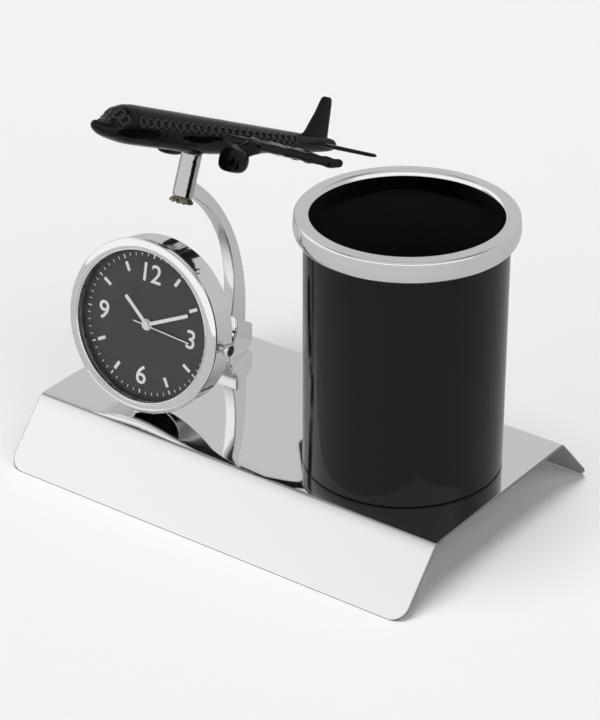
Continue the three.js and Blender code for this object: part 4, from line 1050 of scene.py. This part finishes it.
# Moulded ABS: matt black with a fine spark-eroded grain, drawn 0.6 mm wide so that it shows.
moulded_black = new_finish(
    "moulded_black_abs", "#1E1F20", 0, [6 * mm, 2, 0.48, 0.6], [0.6 * mm, 2, 0, 1], 0.03 * mm)
back_outline = [
    (0, seat_gap), (back_recess, seat_gap), (back_recess + back_slope, back_low),
    (insert_radius - back_slope, back_low), (insert_radius, seat_gap), (insert_radius, back_top),
    (0, back_top)]
dressed("clock_back", [spun(back_outline, closed=False)], clock_place, moulded_black,
        "body", "case_back")
coat(moulded_black, "movement_holder")

# Dial: a steel disc sprayed matt dark grey, with plain numerals, batons and minute marks
# printed in light grey. A satin ring stands between it and the crystal.
dial_height = 8.6 * mm
dial_thickness = 0.5 * mm
dial_low = dial_height - dial_thickness
dial_hole = 1.9 * mm
dial_edge = 0.05 * mm
print_thickness = 0.03 * mm
print_place = Matrix.Translation((0, 0, dial_height + print_thickness / 2))

# Matt dial lacquer: sprayed dark grey, dead even, with a sheen that drifts over 12 mm.
dial_lacquer = new_finish(
    "matt_grey_dial_lacquer", "#464646", 0, [12 * mm, 2, 0.6, 0.7], Specular_IOR_Level=0.25)
dial_outline = rounded([
    (dial_hole, dial_low, 0), (insert_radius, dial_low, 0),
    (insert_radius, dial_height, dial_edge), (dial_hole, dial_height, dial_edge)], 2)
dressed("clock_dial", [spun(dial_outline)], clock_place, dial_lacquer, "body", "dial")

# Printing ink and hand enamel: the same light grey, satin, uneven by a few per cent.
pale_enamel = new_finish("light_grey_enamel", mottled(2 * mm, 2, "#E8E8E8", "#F2F2F2"), 0, 0.4)

# Batons, minute marks and longer five-minute marks: how many, radius, length and width in mm,
# and the step at which one is left out
dial_marks = [(12, 23.4, 3.8, 1.3, 3), (60, 27.6, 1.2, 0.3, 5), (12, 27.4, 1.6, 0.6, 12)]
printed = [ring_mesh(count, radius * mm, (length * mm, width * mm, print_thickness), pale_enamel,
                     print_place, gap=gap) for count, radius, length, width, gap in dial_marks]

numeral_height = 7.4 * mm
numeral_radius = 20.6 * mm
type_size = 1.42 * numeral_height
for word, hour in (("12", 0), ("3", 3), ("6", 6), ("9", 9)):
    text = bpy.data.curves.new("numeral", "FONT")
    text.body = word
    text.align_x = "CENTER"
    text.align_y = "CENTER"
    text.size = type_size
    text.offset = 0.012 * numeral_height
    text.extrude = print_thickness / 2
    text.resolution_u = 6
    mesh = plain_mesh(bpy.data.objects.new("numeral", text))
    corners = np.array([v.co[:] for v in mesh.vertices])
    middle_x, middle_y = (corners.min(0) + corners.max(0))[:2] / 2
    turn = math.radians(90 - 30 * hour)
    spot = Vector((math.cos(turn), math.sin(turn), 0)) * numeral_radius
    mesh.transform(print_place @ Matrix.Translation(spot - Vector((middle_x, middle_y, 0))))
    printed.append(mesh)
dressed("dial_print", printed, clock_place, pale_enamel, "body")

# Satin steel: turned and blasted, with its fine grain drawn a third of a millimetre wide.
satin_steel = new_finish(
    "satin_turned_steel", "#B9BCBF", 1, [5 * mm, 2, 0.22, 0.34], [0.35 * mm, 2, 0, 1], 0.004 * mm)
wall_gap = 0.2 * mm
wall_low = dial_height + wall_gap
wall_high = 10.86 * mm
wall_low_edge, wall_high_edge = 0.1 * mm, 0.15 * mm
wall_outline = rounded([
    (lip_radius, wall_low, wall_low_edge), (insert_radius, wall_low, 0),
    (insert_radius, wall_high, 0), (lip_radius, wall_high, wall_high_edge)], 3)
dressed("dial_wall", [spun(wall_outline)], clock_place, satin_steel,
        "body", "dial_ring")

# Crystal: a flat pane of mineral glass with a ground edge, clamped under the bezel's lip.
crystal_low = 11.06 * mm
crystal_high = 12.26 * mm
ground_edge = 0.2 * mm
# Mineral glass: clear right through, with a faint sheet of reflection that grows at a
# glancing angle, and traces of handling 15 mm wide in that sheet alone.
crystal_glass, tree, place = blank_finish("clear_mineral_glass")
clear = add_node(tree, "ShaderNodeBsdfTransparent", {"Color": "#FCFCFC"})
sheet = add_node(tree, "ShaderNodeBsdfPrincipled", {
    "Base Color": "#F6F6F6", "Metallic": 1,
    "Roughness": patch(tree, place, 15 * mm, 2, 0.005, 0.02)})
glancing = add_node(tree, "ShaderNodeFresnel", {"IOR": 1.12})
pane = add_node(tree, "ShaderNodeMixShader", {
    0: glancing, 1: clear, 2: sheet})
add_node(tree, "ShaderNodeOutputMaterial", {"Surface": pane})
crystal_outline = [
    (0, crystal_low), (insert_radius - ground_edge, crystal_low),
    (insert_radius, crystal_low + ground_edge), (insert_radius, crystal_high - ground_edge),
    (insert_radius - ground_edge, crystal_high), (0, crystal_high)]
dressed("crystal_pane", [spun(crystal_outline, closed=False)], clock_place, crystal_glass,
        "body", "crystal")

# Movement: a small quartz work closed in behind the dial. Its plate and wheels are moulded in
# white plastic; the battery, cover, clip, coil and board are seen only when it is opened.


def close_turns(tree, place):
    return add_node(tree, "ShaderNodeTexWave", {
        "Vector": place, "Scale": 1 / (6 * mm)}, bands_direction="X")


def weave(tree, place):
    squares = add_node(tree, "ShaderNodeTexChecker", {"Vector": place, "Scale": 1 / (0.8 * mm)})
    return add_node(tree, "ShaderNodeMix", {
        0: squares.outputs["Fac"], 6: "#2F5D3C", 7: "#2A5436"}, data_type="RGBA").outputs[2]


# Moulded acetal: milky white with a slight gloss and flow marks 3 mm wide.
milky_acetal = new_finish(
    "moulded_white_acetal", "#E6E3DA", 0, [3 * mm, 2, 0.4, 0.55],
    Subsurface_Weight=0.1, Subsurface_Radius=(1 * mm, 1 * mm, 1 * mm))
# Brass: rolled strip and turned leaves, warm, with a dull bloom 1 mm wide.
plain_brass = new_finish("plain_brass", "#C9A95A", 1, [1 * mm, 2, 0.25, 0.4])
# Enamelled copper wire: close turns, drawn 1.9 mm apart, coarser than real so that they show.
copper_winding = new_finish("enamelled_copper_winding", "#B0683A", 1, 0.35, close_turns, 0.05 * mm)
# Solder mask over glass fibre: green, satin, with the weave faint beneath, 0.8 mm wide.
solder_mask = new_finish("green_solder_mask", weave, 0, 0.45)
coat(milky_acetal, "main_plate", "second_wheel", "hour_wheel", "minute_wheel")
coat(satin_steel, "movement_cover", "battery")
coat(plain_brass, "battery_clip", "cannon_pinion")
coat(copper_winding, "coil")
coat(solder_mask, "circuit_board")

# Hands: stamped from thin brass, enamelled light grey, each with a round hub pressed on its
# arbor. They stack over the dial: hour, minute, second.
hand_thickness = 0.25 * mm
hand_edge = 0.06 * mm
hand_gap = 0.2 * mm
# Each hand: length, tail, width, degrees from twelve, hub and bore, with its lengths in mm
hand_sizes = {
    "hour_hand": (14.3, 0, 1.5, 308.8, 2.29, 1.69),
    "minute_hand": (20.8, 0, 1.4, 63.8, 1.83, 1.23),
    "second_hand": (20.8, 5.7, 0.45, 93.6, 1.53, 0.43),
}

low = dial_height + hand_gap
for hand, (length, tail, width, degrees, hub, bore) in hand_sizes.items():
    length, tail, half, hub, bore = (size * mm for size in (length, tail, width / 2, hub, bore))
    outline = [(-half, -tail), (half, -tail)] + oval(0, length - half, half, half, 0, 180, 12)
    rings = []
    for inset, z in ((hand_edge, 0), (0, hand_edge), (0, hand_thickness - hand_edge),
                     (hand_edge, hand_thickness)):
        rings.append([Vector((x * (1 - inset / half), y - math.copysign(inset, y or -1), low + z))
                      for x, y in outline])
    boss = rounded([(bore, low, 0), (hub, low, hand_edge), (hub, low + hand_thickness, hand_edge),
                    (bore, low + hand_thickness, hand_edge / 2)], 3)
    dressed(hand + "_enamelled", [skinned(rings), spun(boss, 48)],
            clock_place @ Matrix.Rotation(-math.radians(degrees), 4, "Z"), pale_enamel,
            hand, hand)
    low += hand_thickness + hand_gap

# Crown: a turned button with a knurled rim, chromed, on the end of the stem. Its end is
# dished, and a black disc in the dish is painted reflection of the dark cup that the end mirrors.
crown_radius = 2.65 * mm
crown_start = 35.3 * mm
crown_length = 2.2 * mm
crown_end = crown_start + crown_length
crown_ridges = 28
crown_height = 6.1 * mm
knurl_thickness = 0.2 * mm
knurl_gap = 0.3 * mm
knurl_length = crown_length - knurl_gap
core_radius = crown_radius - knurl_thickness
stem_radius = 0.6 * mm
stem_depth = 1 * mm
shoulder_width, shoulder_depth = 0.3 * mm, 0.2 * mm
end_width, end_depth = 0.1 * mm, 0.12 * mm
dish_wall = 0.25 * mm
dish_radius = core_radius - dish_wall
dish_depth = 0.15 * mm
fill_gap = 0.05 * mm
crown_place = (clock_place @ Matrix.Translation((0, 0, crown_height))
               @ Matrix.Rotation(math.pi / 2, 4, "Y"))

crown_knurls, given = new_tree("crown_knurls", {
    "Ridges": "Int", "Radius": "Float", "Thickness": "Float", "Length": "Float"})
turns = add_node(crown_knurls, "GeometryNodeMeshCircle", {
    "Vertices": given["Ridges"], "Radius": given["Radius"]})
ridge = add_node(crown_knurls, "GeometryNodeMeshCylinder", {
    "Vertices": 8, "Radius": given["Thickness"], "Depth": given["Length"]})
close_tree(crown_knurls, turns, ridge, {})

knurls = grown(crown_knurls, {
    "Ridges": crown_ridges, "Radius": core_radius, "Thickness": knurl_thickness,
    "Length": knurl_length, "Finish": mirror_chrome})
knurls.transform(Matrix.Translation((0, 0, crown_start + crown_length / 2)))
crown_outline = [
    (stem_radius, crown_start), (core_radius - shoulder_width, crown_start),
    (core_radius, crown_start + shoulder_depth), (core_radius, crown_end - end_depth),
    (core_radius - end_width, crown_end), (dish_radius, crown_end),
    (dish_radius, crown_end - dish_depth), (0, crown_end - dish_depth),
    (0, crown_start + stem_depth), (stem_radius, crown_start + stem_depth)]
dressed("chromed_crown", [spun(crown_outline, 72), knurls], crown_place, mirror_chrome,
        "crown", "crown")
# Painted reflection: a black disc in the dish, for the dark cup that the end mirrors.
fill_radius = dish_radius - fill_gap
fill_low, fill_high = crown_end - 0.9 * dish_depth, crown_end - 0.3 * dish_depth
painted_reflection_outline = [(0, fill_low), (fill_radius, fill_low), (fill_radius, fill_high), (0, fill_high)]
dressed("crown_lacquer", [spun(painted_reflection_outline, 72, closed=False)], crown_place, black_lacquer,
        "crown")

# Studio: a plain pale floor that runs into a pale backdrop, soft lamps overhead, in front and
# to the right, and pale walls under a darker ceiling that only chrome and gloss see.
camera_place = Vector((539.2, -747.279, 547.7)) * mm
camera_target = Vector((-9.129, 2.116, 40.0)) * mm
camera_lens = 136.62
front_wall = 1.03
back_wall = 0.58
room_size = 6
mirror_floor_lift = 0.1 * mm
# From the floor up: height as the sine of its angle, and the shade that chrome sees there
ceiling_shades = [(0.51, 1), (0.6, 0.94), (0.66, 0.86), (0.72, 0.7), (0.8, 0.35), (0.86, 0.25),
                  (0.9, 0.5), (0.94, 0.75)]
# Lamps: spread in degrees, strength, and the direction that they shine from
lamps = {"overhead": (40, 2.2, (-0.05, -0.1, 1)), "front": (70, 1.75, (-0.25, -0.97, 0.08)),
         "right": (60, 1.1, (0.8, -0.3, 0.55))}

world = bpy.data.worlds.new("studio")
world.use_nodes = True
bpy.context.scene.world = world
world.cycles_visibility.diffuse = False
world.cycles_visibility.camera = False
tree = world.node_tree
tree.nodes.clear()
toward = add_node(tree, "ShaderNodeTexCoord", {})
axes = add_node(tree, "ShaderNodeSeparateXYZ", {"Vector": toward.outputs["Generated"]})
wall = add_node(tree, "ShaderNodeMapRange", {
    "Value": axes.outputs["Y"], "From Min": 0.02, "From Max": 0.4,
    "To Min": front_wall, "To Max": back_wall}, interpolation_type="SMOOTHSTEP")
ceiling = add_node(tree, "ShaderNodeValToRGB", {"Fac": axes.outputs["Z"]})
steps = ceiling.color_ramp.elements
for i, (height, shade) in enumerate(ceiling_shades):
    step = steps[i] if i < 1 else steps.new(height)
    step.position, step.color = height, (shade, shade, shade, 1)
steps.remove(steps[-1])
glow = add_node(tree, "ShaderNodeVectorMath", {
    "Vector": ceiling, "Scale": wall}, operation="SCALE")
surround = add_node(tree, "ShaderNodeBackground", {"Color": glow})
add_node(tree, "ShaderNodeOutputWorld", {"Surface": surround})


def card(name, finish, mesh, camera, glossy, diffuse):
    """A sheet of the studio, seen only by the kinds of ray that are named."""
    mesh.materials.append(finish)
    sheet = bpy.data.objects.new(name, mesh)
    bpy.context.scene.collection.objects.link(sheet)
    sheet.visible_camera = camera
    sheet.visible_glossy = glossy
    sheet.visible_diffuse = diffuse
    sheet.visible_transmission = camera
    sheet.visible_shadow = False


def level(z):
    """A level square as wide as the room."""
    mesh = bpy.data.meshes.new("level")
    corners = [(x * room_size, y * room_size, z) for x, y in ((-1, -1), (1, -1), (1, 1), (-1, 1))]
    mesh.from_pydata(corners, [], [(0, 1, 2, 3)])
    return mesh


def graded(tree, place):
    """Paper that is a little greyer to the back."""
    depth = add_node(tree, "ShaderNodeSeparateXYZ", {"Vector": place})
    grade = add_node(tree, "ShaderNodeMapRange", {
        "Value": depth.outputs["Y"], "From Min": -0.35, "From Max": 0.05},
        interpolation_type="SMOOTHSTEP")
    return add_node(tree, "ShaderNodeMix", {
        0: grade, 6: "#CCCCCC", 7: "#C4C4C4"}, data_type="RGBA").outputs[2]


# Paper: dull white, and a sheet in its place for the mirrors. The backdrop is a pale dome
# behind them, for the camera alone.
floor_paper = new_finish("pale_paper_floor", "#F4F4F4", 0, 1, Specular_IOR_Level=0)
grey_paper = new_finish("graded_paper_floor", graded, 0, 1, Specular_IOR_Level=0)
backdrop_paint = new_finish("backdrop_paint", "#000000", 0, 1, Specular_IOR_Level=0,
                            Emission_Color="#F1F1F1", Emission_Strength=1)
card("floor", floor_paper, level(0), True, False, True)
card("floor_in_mirrors", grey_paper, level(mirror_floor_lift), False, True, False)
card("backdrop", backdrop_paint, ball(0.98 * room_size, 48, 24), True, False, False)

for name, (spread, power, direction) in lamps.items():
    lamp = bpy.data.lights.new(name, "SUN")
    lamp.angle = math.radians(spread)
    lamp.energy = power
    holder = bpy.data.objects.new(name, lamp)
    holder.rotation_euler = Vector(direction).to_track_quat("Z", "Y").to_euler()
    holder.visible_glossy = False
    bpy.context.scene.collection.objects.link(holder)

camera = bpy.data.cameras.new("camera")
camera.sensor_fit = "VERTICAL"
camera.sensor_height = 36
camera.lens = camera_lens
camera_object = bpy.data.objects.new("camera", camera)
camera_object.location = camera_place
camera_object.rotation_euler = (camera_target - camera_place).to_track_quat("-Z", "Y").to_euler()
bpy.context.scene.collection.objects.link(camera_object)
bpy.context.scene.camera = camera_object
bpy.context.scene.view_settings.view_transform = "Standard"
